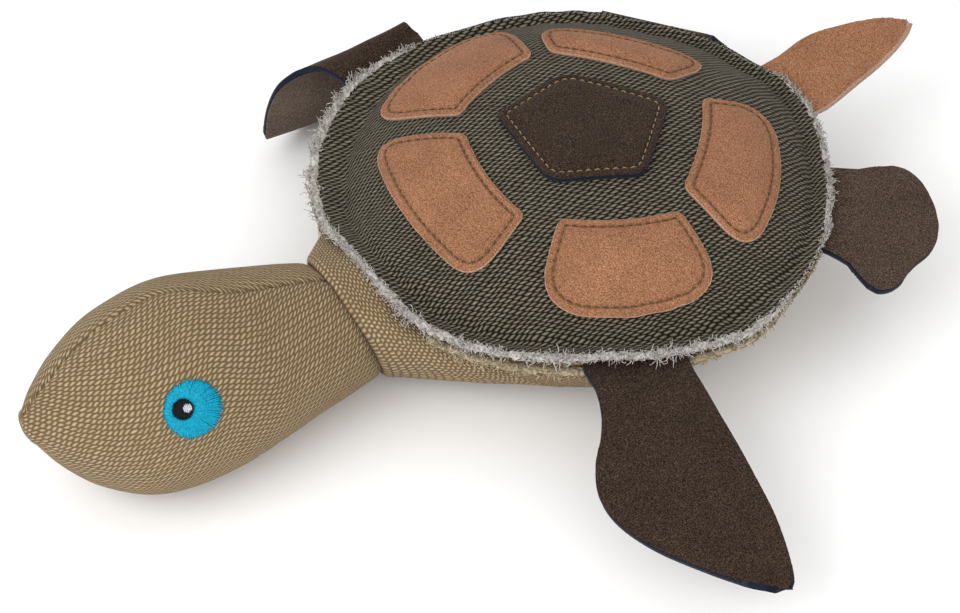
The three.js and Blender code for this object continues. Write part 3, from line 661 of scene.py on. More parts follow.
# %% Belly canvas
_, belly_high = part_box("belly_cover")
BELLY_TOP = belly_high.z
BELLY_FULLNESS = 2.3
BELLY_SINK = 0.5 * MM
BELLY_WOBBLE = 0.7 * MM
BELLY_CELLS = (200, 90)
BELLY_CLOTH_REACH = 118
STUFFED_SHARE = 0.9
NECK_PIVOT = Vector(frame["joints"][0]["pos_m"])
OPENING_HALF_WIDTH = 52 * MM
OPENING_MIDDLE = 20 * MM
OPENING_HALF_HEIGHT = 30 * MM


def belly_height(radius):
    """Height of the belly's outer face at a distance from the middle."""
    top = BELLY_TOP - CLOTH
    fall = max(1 - min(radius / SEAM_RADIUS, 1.0) ** BELLY_FULLNESS, 0.0)
    height = top - (top + BELLY_SINK) * fall ** (1 / BELLY_FULLNESS)
    return max(height, 0.0)


def belly_radius(height):
    """Distance from the middle at which the belly's outer face has a height."""
    top = BELLY_TOP - CLOTH
    depth = min(max((top - height) / (top + BELLY_SINK), 0.0), 1.0)
    return SEAM_RADIUS * (1 - depth ** BELLY_FULLNESS) ** (1 / BELLY_FULLNESS)


def belly_spot(s, t):
    """Place on the belly: s round it, t from the flat's middle to the seam and out over the rim."""
    around = 2 * pi * s
    stuffed = min(t / STUFFED_SHARE, 1.0)
    radius = SEAM_RADIUS * sin(stuffed * pi / 2) ** 0.8
    radius = mix(radius, RIM_HALF_WIDTH - 1 * MM, max(t - STUFFED_SHARE, 0) / 0.1)
    height = belly_height(radius)
    wobble = noise.noise(Vector((cos(around), sin(around), height / (20 * MM))) * 2.1)
    radius += BELLY_WOBBLE * wobble * smoothstep(0, 12 * MM, height) * smoothstep(1.0, 0.9, t)
    radius += rim_shift(around) * smoothstep(0.8, 0.97, t)
    return Vector((*on_oval(radius, around), height))


def belly_cloth(s, t):
    around = 2 * pi * s
    spread = BELLY_CLOTH_REACH * t
    return spread * cos(around), spread * sin(around)


belly_shape = sheet(*BELLY_CELLS, belly_spot, (0, 0, -1), belly_cloth)
in_neck = []
for face in belly_shape.faces:
    middle = face.calc_center_median()
    from_neck = hypot(middle.x / OPENING_HALF_WIDTH, (middle.z - OPENING_MIDDLE) / OPENING_HALF_HEIGHT)
    if middle.y < -50 * MM and middle.z > 6 * MM and from_neck < 1:
        in_neck.append(face)
bmesh.ops.delete(belly_shape, geom=in_neck, context="FACES")
belly = add_piece("belly_canvas", belly_shape, [KHAKI_CANVAS], "body", "khaki_canvas", ["belly_cover"],
                  wall=CLOTH)
print("belly faces", len(belly.data.polygons))

# %% [markdown]
# Both rounds are cut raw at the rim, and washing has frayed them. The fray is thousands of short
# curly yarns, so each is a strand that wanders outwards from the edge, at random but with a
# fixed seed. A soft roll under them closes the gaps. The shell's yarns are off-white and turn up
# over the olive cloth, and the belly's are beige and lie lower.

# %% Frayed edges
FRAY_SEED = 7
YARN = 0.5 * MM
FRINGE_REACH = 4.4 * MM
FUZZ = 1.3 * MM
YARN_PIECES = 5
YARN_TAPER = 0.55
OUTWARD_PULL = 0.22
ROLL_CELLS = (900, 12)
# How long the fray is, in degrees round the shell: on the far side and near the rear left flipper
# it has worn off almost to the cloth
FRAY_SHARE = [
    (-180, 0.12), (-174, 0.35), (-166, 0.7), (-150, 0.95), (-120, 1), (-95, 0.95), (-60, 0.95), (-30, 0.95),
    (5, 0.85), (16, 0.6), (24, 0.3), (33, 0.3), (42, 0.6), (60, 0.65), (82, 0.65), (92, 0.5), (104, 0.1),
    (140, 0.06), (180, 0.1),
]
fray_share = smooth_table(FRAY_SHARE)


def curl(rand, x, y, z, outward, length, rise):
    """A short yarn that leaves a point outwards and curls."""
    points = []
    heading = atan2(outward[1], outward[0]) + rand.uniform(-1.3, 1.3)
    pitch = rise + rand.uniform(-0.6, 0.6)
    turn = rand.uniform(-0.9, 0.9)
    spot = Vector((x, y, z))
    for i in range(YARN_PIECES + 1):
        points.append((spot.copy(), 1.0 - YARN_TAPER * (i / YARN_PIECES)))
        heading += turn + rand.uniform(-0.6, 0.6)
        pitch += rand.uniform(-0.9, 0.9)
        level = cos(pitch)
        step = Vector((cos(heading) * level, sin(heading) * level, sin(pitch)))
        step += Vector((*outward, 0)) * OUTWARD_PULL
        spot += step.normalized() * (length / YARN_PIECES)
    return points


def fray(seed, count, edge_radius, height_at, rise):
    """Paths of the yarns all round an edge."""
    rand = random.Random(seed)
    paths = []
    for i in range(count):
        around = 2 * pi * (i + rand.random()) / count - pi
        worn = fray_share(degrees(around))
        clump = 0.85 + 0.9 * ring_noise(around, 17, seed)
        radius = edge_radius + rim_shift(around) + (rand.uniform(-2.2, 1.8) * worn - 2.2 * (1 - worn)) * MM
        x, y = on_oval(radius, around)
        outward = (cos(around), sin(around))
        length = FRINGE_REACH * clump * worn * rand.uniform(0.55, 1.2)
        start = height_at(x, y) + rand.uniform(-0.6, 1.0) * MM
        paths.append(curl(rand, x, y, start, outward, length, rise))
    return paths


def roll(edge_radius, half_width, half_height, height_at, seed):
    """The matted roll under the yarns: a flattened tube with a lumpy, fuzzy surface."""
    def place(s, t):
        around, turn = 2 * pi * s - pi, 2 * pi * t
        worn = max(fray_share(degrees(around)) - 0.12, 0.02)
        slow = ring_noise(around, 30, seed + 2 * sin(turn))
        edge = edge_radius + rim_shift(around) - 1.4 * half_width * (1 - worn)
        fuzz = rough(edge * cos(around), edge * sin(around), half_width * turn, FUZZ)
        lump = 1 + 0.35 * slow + 0.6 * fuzz
        radius = edge + half_width * worn * lump * cos(turn)
        x, y = on_oval(radius, around)
        thick = half_height * min(1.5 * worn, 1.0) * lump
        return Vector((x, y, height_at(x, y) + thick * sin(turn)))
    return sheet(*ROLL_CELLS, place, (-1, 0, 0))


def joined(first, second):
    """One bmesh of two."""
    mesh = bpy.data.meshes.new("joined")
    second.to_mesh(mesh)
    second.free()
    first.from_mesh(mesh)
    bpy.data.meshes.remove(mesh)
    return first


def shell_edge_height(x, y):
    return shell_height(x, y) - 0.7 * MM


def belly_edge_height(x, y):
    return BELLY_TOP - 0.6 * MM


# Yarn, height of the edge, seed, number of yarns, how far outside the rim's oval they start and how
# steeply they rise, then how far out the roll lies, its half width and half height, and its seed
FRINGES = {
    "shell": (SHELL_YARN, shell_edge_height, FRAY_SEED, 3400, 0.9, 0.3, 1.2, 2.1, 1.0, 1.0),
    "belly": (BELLY_YARN, belly_edge_height, FRAY_SEED + 1, 2200, 0.3, -0.2, 0.6, 2.0, 0.9, 5.0),
}
fray_faces = 0
for cover, (material, height_at, *numbers) in FRINGES.items():
    seed, count, start, rise, roll_start, half_width, half_height, roll_seed = numbers
    yarns = strands(fray(seed, count, RIM_HALF_WIDTH + start * MM, height_at, rise), YARN, 0)
    under = roll(RIM_HALF_WIDTH + roll_start * MM, half_width * MM, half_height * MM, height_at, roll_seed)
    fringe = add_piece(f"{cover}_frayed_edge", joined(yarns, under), [material],
                       "body", f"frayed_{cover}_edge", [f"{cover}_fringe"])
    fray_faces += len(fringe.data.polygons)
print("fray faces", fray_faces)

# %% [markdown]
# Six suede patches are sewn on the shell: a pentagon in the middle and five bowed plates round
# it, each cut by eye to its own size. An outline is a closed curve through rounded corners. The
# patch is a sheet from that outline to its middle, laid on the shell. Its height depends on how
# far in from the cut edge a point lies, so that the leather dips along its stitches and puffs up
# inside them. The stitches are short threads that dive into the dip at each end.

# %% Patches and their stitches
SUEDE = 2.0 * MM
SEAT = 0.2 * MM
PATCH_WALL = 1.4 * MM
INNER_CORNER = 3 * MM
PENTAGON_LIFT = 0.7 * MM
OUTER_CORNER = 13 * MM
SIDE_BOW = 0.4 * MM
STITCH_INSET = 3.0 * MM
STITCH_PITCH = 3.25 * MM
STITCH_SHARE = 0.66
STITCH_STEPS = 20
STITCH_POINTS = 6
STITCH_THREAD = 0.62 * MM
PENTAGON_THREAD = 0.5 * MM
PENTAGON_MIDDLE = Vector((0, 2.6)) * MM
# Distance from its middle in millimetres, degrees, and how far from the corner its rounding starts
PENTAGON_CORNERS = [(33.3, 83.4, 7), (30.3, 164, 7), (34.0, 225.3, 3), (30.2, 300, 6), (31.2, 9.8, 6)]
# Heading; the two inner and the two outer corners, each a distance from the middle in millimetres
# and degrees aside of the heading; and how far the inner and the outer edge bow
SCUTES = {
    "front": (-90, [(44.3, 31), (42, -34), (77, -40), (73, 26.5)], 3, 7.5),
    "left": (-18, [(50, 30), (42, -25), (73, -26.5), (79, 25.5)], 3, 8.8),
    "rear_left": (54, [(49, 29.5), (44, -31), (76, -35.5), (73, 24)], 2.5, 8),
    "rear_right": (126, [(47, 36), (44, -26.5), (67, -26), (69, 36)], 1, 2.5),
    "right": (198, [(46, 25), (47, -28), (79, -28), (81, 23)], 2, 8.5),
}
OUTLINE_POINTS = 360
SIDE_STEPS = 60
CORNER_STEPS = 20
# HOLE is the radius of the painted shade round each needle hole
HOLE = 0.35 * MM
PATCH_ROWS = 46
ROW_SPACING = 1.45
RAGGED = 0.14 * MM
EDGE_DROP = 0.9 * MM
EDGE_ROUND = 1.3 * MM
GROOVE_DEPTH = 0.7 * MM
GROOVE_WIDTH = 0.7 * MM
PUFF = 0.7 * MM
PUFF_REACH = 5 * MM
CUT_EDGE_ROWS = 0.05


def polar(radius, heading):
    """Point at a distance from the middle and a heading in degrees."""
    turn = radians(heading)
    return Vector((radius * cos(turn), radius * sin(turn)))


def bezier(a, b, c, t):
    return a * (1 - t) ** 2 + b * (2 * t * (1 - t)) + c * t ** 2


def lengths_along(points):
    """Length of a line from its first point to each of its points."""
    steps = ((b - a).length for a, b in zip(points, points[1:]))
    return list(accumulate(steps, initial=0.0))


def spaced(line, count):
    """Evenly spaced points along a closed line."""
    lengths = lengths_along(line + line[:1])
    even, k = [], 0
    for i in range(count):
        goal = lengths[-1] * i / count
        while lengths[k + 1] < goal:
            k += 1
        t = (goal - lengths[k]) / (lengths[k + 1] - lengths[k])
        even.append(line[k].lerp(line[(k + 1) % len(line)], t))
    return even


def rounded_outline(corners, roundings, bows):
    """Evenly spaced points round a polygon with bowed sides, each corner cut round."""
    total = len(corners)
    sides = []
    for i, corner in enumerate(corners):
        after = corners[(i + 1) % total]
        across = after - corner
        control = (corner + after) / 2 + Vector((across.y, -across.x)).normalized() * 2 * bows[i]
        sides.append([bezier(corner, control, after, k / SIDE_STEPS) for k in range(SIDE_STEPS + 1)])
    fine = []
    for i, corner in enumerate(corners):
        before, side = sides[i - 1], sides[i]
        start = before[round(SIDE_STEPS * (1 - roundings[i] / (before[-1] - before[0]).length))]
        length = (side[-1] - side[0]).length
        first = round(SIDE_STEPS * roundings[i] / length)
        last = round(SIDE_STEPS * (1 - roundings[(i + 1) % total] / length))
        fine += [bezier(start, corner, side[first], k / CORNER_STEPS) for k in range(CORNER_STEPS)]
        fine += side[first:last]
    return spaced(fine, OUTLINE_POINTS)


def inset_outline(outline, distance):
    """The outline moved inwards by a distance."""
    moved = []
    for i, point in enumerate(outline):
        tangent = (outline[(i + 1) % len(outline)] - outline[i - 1]).normalized()
        moved.append(point + Vector((-tangent.y, tangent.x)) * distance)
    return moved


def patch_relief(distance):
    """Height of the suede's top face above its seat, at a distance in from the cut edge."""
    rounded = EDGE_DROP * (1 - smoothstep(0, EDGE_ROUND, distance))
    groove = GROOVE_DEPTH * bell(distance - STITCH_INSET, GROOVE_WIDTH)
    puff = PUFF * smoothstep(STITCH_INSET, STITCH_INSET + PUFF_REACH, distance)
    return SUEDE - rounded - groove + puff


def stitch_line(outline):
    """The closed line of a patch's stitches, from needle hole to hole in STITCH_STEPS points."""
    line = inset_outline(outline, STITCH_INSET)
    length = lengths_along(line + line[:1])[-1]
    return spaced(line, round(length / STITCH_PITCH) * STITCH_STEPS)


def nearest_of(points):
    """A function that gives the distance from a place to the nearest of the points."""
    tree = kdtree.KDTree(len(points))
    for i, point in enumerate(points):
        tree.insert((point.x, point.y, 0), i)
    tree.balance()
    return lambda at: tree.find((at.x, at.y, 0))[2]


def add_patch(name, outline, top, edge, slot, lift=0.0):
    """A patch from its cut edge to its middle, walled down to the canvas."""
    middle = sum(outline, Vector((0, 0))) / len(outline)
    distance = nearest_of(spaced(outline, 4 * len(outline)))
    hole_distance = nearest_of(stitch_line(outline)[::STITCH_STEPS])

    def spot(s, t):
        start = outline[round(s * OUTLINE_POINTS) % OUTLINE_POINTS]
        return start.lerp(middle, t ** ROW_SPACING)

    def place(s, t):
        at = spot(s, t)
        ragged = RAGGED * rough(at.x, at.y, 0, 1.3 * MM) * smoothstep(0.08, 0, t)
        return on_shell(at.x + ragged, at.y + ragged, SEAT + lift + patch_relief(distance(at)))

    # Share of painted shade: a little along the stitching groove, more in each needle hole
    def groove_shade_share(s, t):
        at = spot(s, t)
        in_line = 0.2 * bell(distance(at) - STITCH_INSET, 0.5 * MM)
        in_hole = 0.8 * bell(hole_distance(at), HOLE)
        return max(in_line, in_hole)

    shape = sheet(OUTLINE_POINTS, PATCH_ROWS, place, (0, 0, 1),
                  paint=lambda s, t: 1 if t < CUT_EDGE_ROWS else 0, mark=groove_shade_share)
    add_piece(name, shape, [top, edge], "body", slot, [name.replace("_suede", "")], wall=PATCH_WALL + lift)


def add_stitches(name, outline, material, slot, stands_for, thickness=STITCH_THREAD, lift=0.0):
    """A row of stitches round a patch, each a short thread with its ends pulled down."""
    line = stitch_line(outline)
    margin = (1 - STITCH_SHARE) / 2 * STITCH_STEPS
    paths = []
    for start in range(0, len(line), STITCH_STEPS):
        points = []
        for k in range(STITCH_POINTS + 1):
            at = line[start + round(margin + k / STITCH_POINTS * STITCH_SHARE * STITCH_STEPS)]
            arch = sin(pi * k / STITCH_POINTS) ** 0.7
            rise = SEAT + lift + patch_relief(STITCH_INSET) + (0.6 * arch - 0.2) * MM
            points.append((on_shell(at.x, at.y, rise), 0.7 + 0.3 * arch))
        paths.append(points)
    add_piece(name, strands(paths, thickness, 2), [material], "body", slot, [stands_for])


pentagon = rounded_outline([polar(r * MM, a) + PENTAGON_MIDDLE for r, a, _ in PENTAGON_CORNERS],
                           [start * MM for _, _, start in PENTAGON_CORNERS], [SIDE_BOW] * 5)
add_patch("centre_patch_suede", pentagon, BROWN_SUEDE, NAVY_EDGE, "brown_suede", PENTAGON_LIFT)
add_stitches("centre_patch_stitches", pentagon, TAN_THREAD, "tan_thread", "centre_patch_stitching",
             PENTAGON_THREAD, PENTAGON_LIFT)
for place_name, (heading, corners, dip, bulge) in SCUTES.items():
    plate = rounded_outline([polar(r * MM, heading + a) for r, a in corners],
                            [INNER_CORNER, INNER_CORNER, OUTER_CORNER, OUTER_CORNER],
                            [-dip * MM, SIDE_BOW, bulge * MM, SIDE_BOW])
    add_patch(f"{place_name}_scute_suede", plate, TAN_SUEDE, TAN_EDGE, "tan_suede")
    add_stitches(f"{place_name}_scute_stitches", plate, BROWN_THREAD, "brown_thread",
                 f"{place_name}_scute_stitching")
print("patches:", 1 + len(SCUTES))

# %% [markdown]
# The head is two canvas panels, sewn together over the top and under the chin and stuffed hard.
# A row of stations gives its radius and the height of its middle along the toy, as a tailor's
# form would. Each panel is half of that form. It turns in at the seam and puffs up beside it, and
# from behind the brow forward the head is turned a little about its own length.

# %% Head panels
# Place along the toy, radius and height of the middle, in millimetres
HEAD_STATIONS = [
    (-102, 23.4, 28.6), (-119, 27.8, 31.4), (-139, 32.4, 34.0), (-155, 35.8, 35.9), (-165, 36.9, 36.6),
    (-174, 37.0, 36.6), (-182, 36.1, 36.6), (-190, 34.2, 36.8), (-199, 30.4, 37.4), (-208, 25.0, 39.0),
    (-215, 19.0, 41.2), (-221, 13.0, 44.0), (-226, 6.4, 47.0),
]
NOSE = (-228.5, 48.4)
NECK_BALL = 22.3
NECK_CREASE = 7
SIDES = {"left": 1, "right": -1}
HEAD_TWIST = radians(17)
HEAD_TWIST_START = 138 * MM
HEAD_TWIST_FULL = 172 * MM
SEAM_DEPTH = 1.3 * MM
SEAM_HALF_WIDTH = 0.7 * MM
SEAM_PUFF = 0.3 * MM
HEAD_STEP = 0.5
HEAD_RIPPLE = 0.45 * MM
CREASE_AHEAD = 13.5 * MM
CREASE_SLANT = 7.2 * MM
CREASE_DEPTH = 1.2 * MM
CREASE_WIDTH = 2.2 * MM
BALL_STEPS = 8
PANEL_CELLS = (230, 72)

pivot_y, pivot_z = NECK_PIVOT.y / MM, NECK_PIVOT.z / MM
ball_turn = pi / 2 + asin(NECK_CREASE / NECK_BALL)
ball_turns = [ball_turn * k / BALL_STEPS for k in range(BALL_STEPS + 1)]
ball_rows = [(pivot_y + NECK_BALL * cos(a), NECK_BALL * sin(a)) for a in ball_turns]
head_radius = smooth_table(ball_rows[1:] + [(y, r) for y, r, _ in HEAD_STATIONS])
head_middle = smooth_table([(pivot_y, pivot_z)] + [(y, m) for y, _, m in HEAD_STATIONS] + [NOSE])
head_line = ball_rows[:1]
spot_y = ball_rows[1][0]
last_y, last_radius, _ = HEAD_STATIONS[-1]
while spot_y > last_y:
    head_line.append((spot_y, head_radius(spot_y)))
    spot_y -= HEAD_STEP
for k in range(BALL_STEPS + 1):
    turn = k / BALL_STEPS * pi / 2
    head_line.append((last_y - (last_y - NOSE[0]) * sin(turn), last_radius * cos(turn)))
head_steps = (dist(a, b) for a, b in zip(head_line, head_line[1:]))
head_arc = list(accumulate(head_steps, initial=0.0))


def along_head(arc):
    """Place along the toy and radius of the form at a length of cloth from the back of the neck."""
    k = min(max(bisect.bisect_right(head_arc, arc) - 1, 0), len(head_arc) - 2)
    t = (arc - head_arc[k]) / (head_arc[k + 1] - head_arc[k])
    return mix(head_line[k][0], head_line[k + 1][0], t), mix(head_line[k][1], head_line[k + 1][1], t)


def crease_reach(angle):
    """How far ahead of the pivot the neck's crease lies, at an angle round the neck."""
    return CREASE_AHEAD + CREASE_SLANT * sin(angle)


def head_spot(side, y, radius, angle, raise_by=0.0):
    """Point of the head: y and radius of the straight form in metres, angle up from one side."""
    angle = angle if side > 0 else pi - angle
    ripple = HEAD_RIPPLE * noise.noise(Vector((cos(angle), y / (22 * MM), sin(angle))) * 1.3)
    crease = CREASE_DEPTH * bell(-y + NECK_PIVOT.y - crease_reach(angle), CREASE_WIDTH)
    full = radius + (raise_by + (ripple - crease) * min(radius / (15 * MM), 1.0))
    turn = HEAD_TWIST * smoothstep(HEAD_TWIST_START, HEAD_TWIST_FULL, -y)
    middle = head_middle(y / MM) * MM
    return Vector((full * cos(angle + turn), y, full * sin(angle + turn) + middle))


def panel_place(side):
    """Place function of one panel: s along the head, t round it from under the chin to the top."""
    def place(s, t):
        y, radius = (value * MM for value in along_head(head_arc[-1] * s))
        angle = (t - 0.5) * pi
        from_seam = radius * (pi / 2 - abs(angle))
        groove = SEAM_DEPTH * bell(from_seam, SEAM_HALF_WIDTH)
        puff = SEAM_PUFF * bell(from_seam - 4 * MM, 2.6 * MM)
        share = min(radius / (8 * MM), 1.0)
        return head_spot(side, y, radius - (groove - puff) * share, angle)
    return place


def panel_cloth(s, t):
    arc = head_arc[-1] * s
    return -arc, along_head(arc)[1] * (t - 0.5) * pi


def seam_spacing(t):
    """Puts more of the rows near the seams."""
    return mix(t, 0.5 - 0.5 * cos(pi * t), 0.8)


for side_name, side in SIDES.items():
    place = panel_place(side)
    panel_shape = sheet(
        *PANEL_CELLS,
        lambda s, t: place(s, seam_spacing(t)),
        (0, 1, 0),
        lambda s, t: panel_cloth(s, seam_spacing(t)),
    )
    panel = add_piece(f"head_{side_name}_canvas", panel_shape, [KHAKI_CANVAS], "head", "khaki_canvas",
                      [f"head_{side_name}_panel"], wall=CLOTH)
print("head length", round(pivot_y - NOSE[0]), "mm")

# %% [markdown]
# The neck goes into a short sleeve of the belly's canvas. On the real toy the belly's cloth
# is gathered forward to the neck and turned in where the two are sewn, which makes a sharp crease.
# The sleeve is a sheet stretched from a wide oval on the belly to the crease round the neck, with
# a slight bulge on the way. Over the neck it starts under the lifted rim.

# %% Neck sleeve
SLEEVE_HALF_WIDTH = 61 * MM
SLEEVE_MIDDLE = 20 * MM
SLEEVE_UP = 19 * MM
SLEEVE_DOWN = 12 * MM
SLEEVE_TOP = 49.0 * MM
SLEEVE_LENGTH = 46
SLEEVE_SINK = 0.8 * MM
SLEEVE_OVER_NECK = 1.3 * MM
SLEEVE_LIP = 2.4 * MM
SLEEVE_PUFF = 1.6 * MM
SLEEVE_WALL = 0.8 * MM
SLEEVE_CELLS = (180, 64)


def sleeve_start(angle):
    """Point on the belly where the sleeve begins, at an angle round the neck."""
    x = SLEEVE_HALF_WIDTH * cos(angle)
    rise = sin(angle)
    z = SLEEVE_MIDDLE + (SLEEVE_UP if rise > 0 else SLEEVE_DOWN) * rise
    radius = belly_radius(z) - SLEEVE_SINK
    y = -sqrt(radius ** 2 - x ** 2) / ROUNDNESS
    over_neck = bell(x, 22 * MM) * smoothstep(0.3, 1.0, rise)
    return Vector((x, y + 2 * MM * over_neck, mix(z, SLEEVE_TOP, over_neck)))


def sleeve_end(angle):
    """Point of the crease round the neck at an angle."""
    reach = crease_reach(angle)
    radius = head_radius((NECK_PIVOT.y - reach) / MM) * MM + SLEEVE_OVER_NECK
    middle = head_middle((NECK_PIVOT.y - reach) / MM) * MM
    return Vector((radius * cos(angle), NECK_PIVOT.y - reach, middle + radius * sin(angle)))


def sleeve_place(s, t):
    angle = 2 * pi * (s - 0.5)
    start, end = sleeve_start(angle), sleeve_end(angle)
    spot = start.lerp(end, t)
    round_out = Vector((cos(angle), 0, 0.3 * sin(angle)))
    spot += round_out * SLEEVE_PUFF * sin(pi * min(t * 1.05, 1.0))
    left = (end - spot).length
    into_lip = max(1 - left / SLEEVE_LIP, 0.0)
    inward = Vector((-cos(angle), 0, -sin(angle)))
    spot += inward * SLEEVE_LIP * (1 - sqrt(1 - min(into_lip, 1.0) ** 2))
    ripple = 0.5 * MM * ring_noise(angle, 2, left / (11 * MM))
    spot -= inward * ripple * smoothstep(0, 0.3, t)
    spot.z = max(spot.z, 0.5 * MM)
    return spot


def length_round(point_at):
    """Length in millimetres along a closed line at 361 angles, from -180 to 180 degrees, zero at 0."""
    lengths = lengths_along([point_at(radians(turned)) for turned in range(-180, 181)])
    return [(length - lengths[180]) / MM for length in lengths]


START_LENGTHS = length_round(sleeve_start)
END_LENGTHS = length_round(sleeve_end)


def sleeve_cloth(s, t):
    """UV in millimetres: round the neck, and back from the crease."""
    k = round(360 * s)
    return mix(START_LENGTHS[k], END_LENGTHS[k], t), SLEEVE_LENGTH * (1 - t)


sleeve_shape = sheet(*SLEEVE_CELLS, sleeve_place, (1, -0.5, 0), sleeve_cloth)
sleeve = add_piece("neck_sleeve_canvas", sleeve_shape, [KHAKI_CANVAS], "body", "khaki_canvas",
                   ["neck_collar"], wall=SLEEVE_WALL)
print("sleeve faces", len(sleeve.data.polygons))

# %% [markdown]
# The eyes are machine embroidery. A ring of satin stitches runs out from the pupil, each thread
# a little longer or shorter than the next, which gives the edge its teeth. The pupil is short dark
# threads, and a few pale ones on it make the highlight. The threads are laid on a soft pad, all
# placed by how far they lie along and across the head's own surface.

# %% Embroidered eyes
EYE_Y = -177.2
EYE_ANGLE = radians(15.6)
IRIS_RADIUS = 10.3
PUPIL_RADIUS = 3.6
PUPIL_FORWARD = 3.9
PUPIL_UP = 1.7
HIGHLIGHT_FORWARD = 2.5
TONE_WIDTH = 2.3
SATIN_THREAD = 0.62 * MM
EYE_SEED = 11
RING_THREADS = (96, 110)
PUPIL_THREADS = 13
PUPIL_THREAD = 0.72 * MM
HIGHLIGHT_THREADS = 5
HIGHLIGHT_THREAD = 0.7 * MM
HIGHLIGHT_RADIUS = 1.45


def eye_spot(side, forward, up, raise_by):
    """Point over the head, some millimetres forward of the eye's middle and up from it."""
    y = EYE_Y - forward
    radius = head_radius(y)
    return head_spot(side, y * MM, radius * MM, EYE_ANGLE + up / radius, raise_by)


def pad(side, forward, up, radius, low, high, rings=8, spokes=72):
    """A low round cushion of backing stitches under the threads."""
    def place(s, t):
        around = 2 * pi * s
        reach = radius * min(t / 0.8, 1.0)
        lift = low + (high - low) * sqrt(max(1 - (reach / radius) ** 4, 0))
        lift -= max(t - 0.8, 0) * 4 * MM
        return eye_spot(side, forward + reach * cos(around), up + reach * sin(around), lift)
    return sheet(spokes, rings, place, (side, 0, 0))


def iris_threads(side, rand):
    """Radial threads from the pupil's edge to the iris's edge, in two layers."""
    paths = []
    for layer, count in enumerate(RING_THREADS):
        for i in range(count):
            heading = 2 * pi * (i + rand.uniform(-0.3, 0.3)) / count
            start = PUPIL_RADIUS - 0.2 + rand.uniform(-0.2, 0.3) + (1.6 * rand.random() if layer else 0)
            dx, dy = cos(heading), sin(heading)
            aside = PUPIL_FORWARD * dy - PUPIL_UP * dx
            reach = sqrt(IRIS_RADIUS ** 2 - aside ** 2) - PUPIL_FORWARD * dx - PUPIL_UP * dy
            end = reach + rand.uniform(-0.45, 0.45)
            points = []
            for k in range(6):
                t = k / 5
                far = mix(start, end, t)
                sideways = rand.uniform(-0.05, 0.05)
                forward = PUPIL_FORWARD + far * dx - sideways * dy
                up = PUPIL_UP + far * dy + sideways * dx
                arch = 1 - (2 * t - 1) ** 4
                lift = (0.55 + 0.45 * arch + 0.12 * layer) * MM - 0.5 * MM * (k == 5)
                points.append((eye_spot(side, forward, up, lift), 0.7 + 0.45 * t - 0.55 * (k == 5)))
            paths.append(points)
    return paths


def patch_of_threads(side, rand, forward, radius, count, lift):
    """Threads side by side that fill a small round."""
    paths = []
    for i in range(count):
        offset = mix(-radius, radius, (i + 0.5) / count)
        half = sqrt(max(radius ** 2 - offset ** 2, 0.05)) + rand.uniform(-0.1, 0.25)
        points = []
        for k in range(5):
            t = k / 4
            arch = sin(pi * t)
            up = PUPIL_UP + mix(-half, half, t)
            points.append((eye_spot(side, forward + offset, up, lift + 0.35 * MM * arch), 0.6 + 0.4 * arch))
        paths.append(points)
    return paths


def floss_tone(number):
    """Groups of neighbouring threads catch less light than the rest."""
    return 1 if rough(number / TONE_WIDTH, 0.5, 0.5) > 0.12 else 0


for side_name, side in SIDES.items():
    rand = random.Random(EYE_SEED + side)
    satin = strands(iris_threads(side, rand), SATIN_THREAD, 1, floss_tone)
    iris = joined(satin, pad(side, 0.0, 0.0, IRIS_RADIUS - 0.5, 0.1 * MM, 0.7 * MM))
    # The second floss is the painted shade that floss_tone gives to some groups of threads
    add_piece(f"{side_name}_iris_stitches", iris, [CYAN_FLOSS, SHADED_CYAN_FLOSS], "head", "cyan_thread",
              [f"{side_name}_iris"])
    dark = patch_of_threads(side, rand, PUPIL_FORWARD, PUPIL_RADIUS, PUPIL_THREADS, 0.95 * MM)
    cushion = pad(side, PUPIL_FORWARD, PUPIL_UP, PUPIL_RADIUS, 0.6 * MM, 1.1 * MM, 6, 40)
    pupil = joined(strands(dark, PUPIL_THREAD), cushion)
    add_piece(f"{side_name}_pupil_stitches", pupil, [NAVY_FLOSS], "head", "navy_thread",
              [f"{side_name}_pupil"])
    pale = patch_of_threads(side, rand, HIGHLIGHT_FORWARD, HIGHLIGHT_RADIUS, HIGHLIGHT_THREADS, 1.35 * MM)
    add_piece(f"{side_name}_highlight_stitches", strands(pale, HIGHLIGHT_THREAD), [GREY_FLOSS],
              "head", "grey_thread", [f"{side_name}_highlight"])
print("eyes: 2")

# %% [markdown]
# The flippers and the tail are single pieces of leather. Each is cut flat, bent along a line of
# headings from its root to its tip, and placed at its hinge. The sheet runs on behind the hinge
# to the root that is sewn into the rim. Its cut edge shows the dye of the leather's core, and its
# back is the paler flesh side.

# %% Flippers and tail
LEATHER = 2.5 * MM
HANG_START = -9.5
FOLD_EASE = 20
BEND_STEPS = 96
LONG_ROOT_SHARE = 0.12
FAN_ROOT_SHARE = 0.2
LEATHER_RAGGED = 0.13
LEATHER_WAVES = 0.5
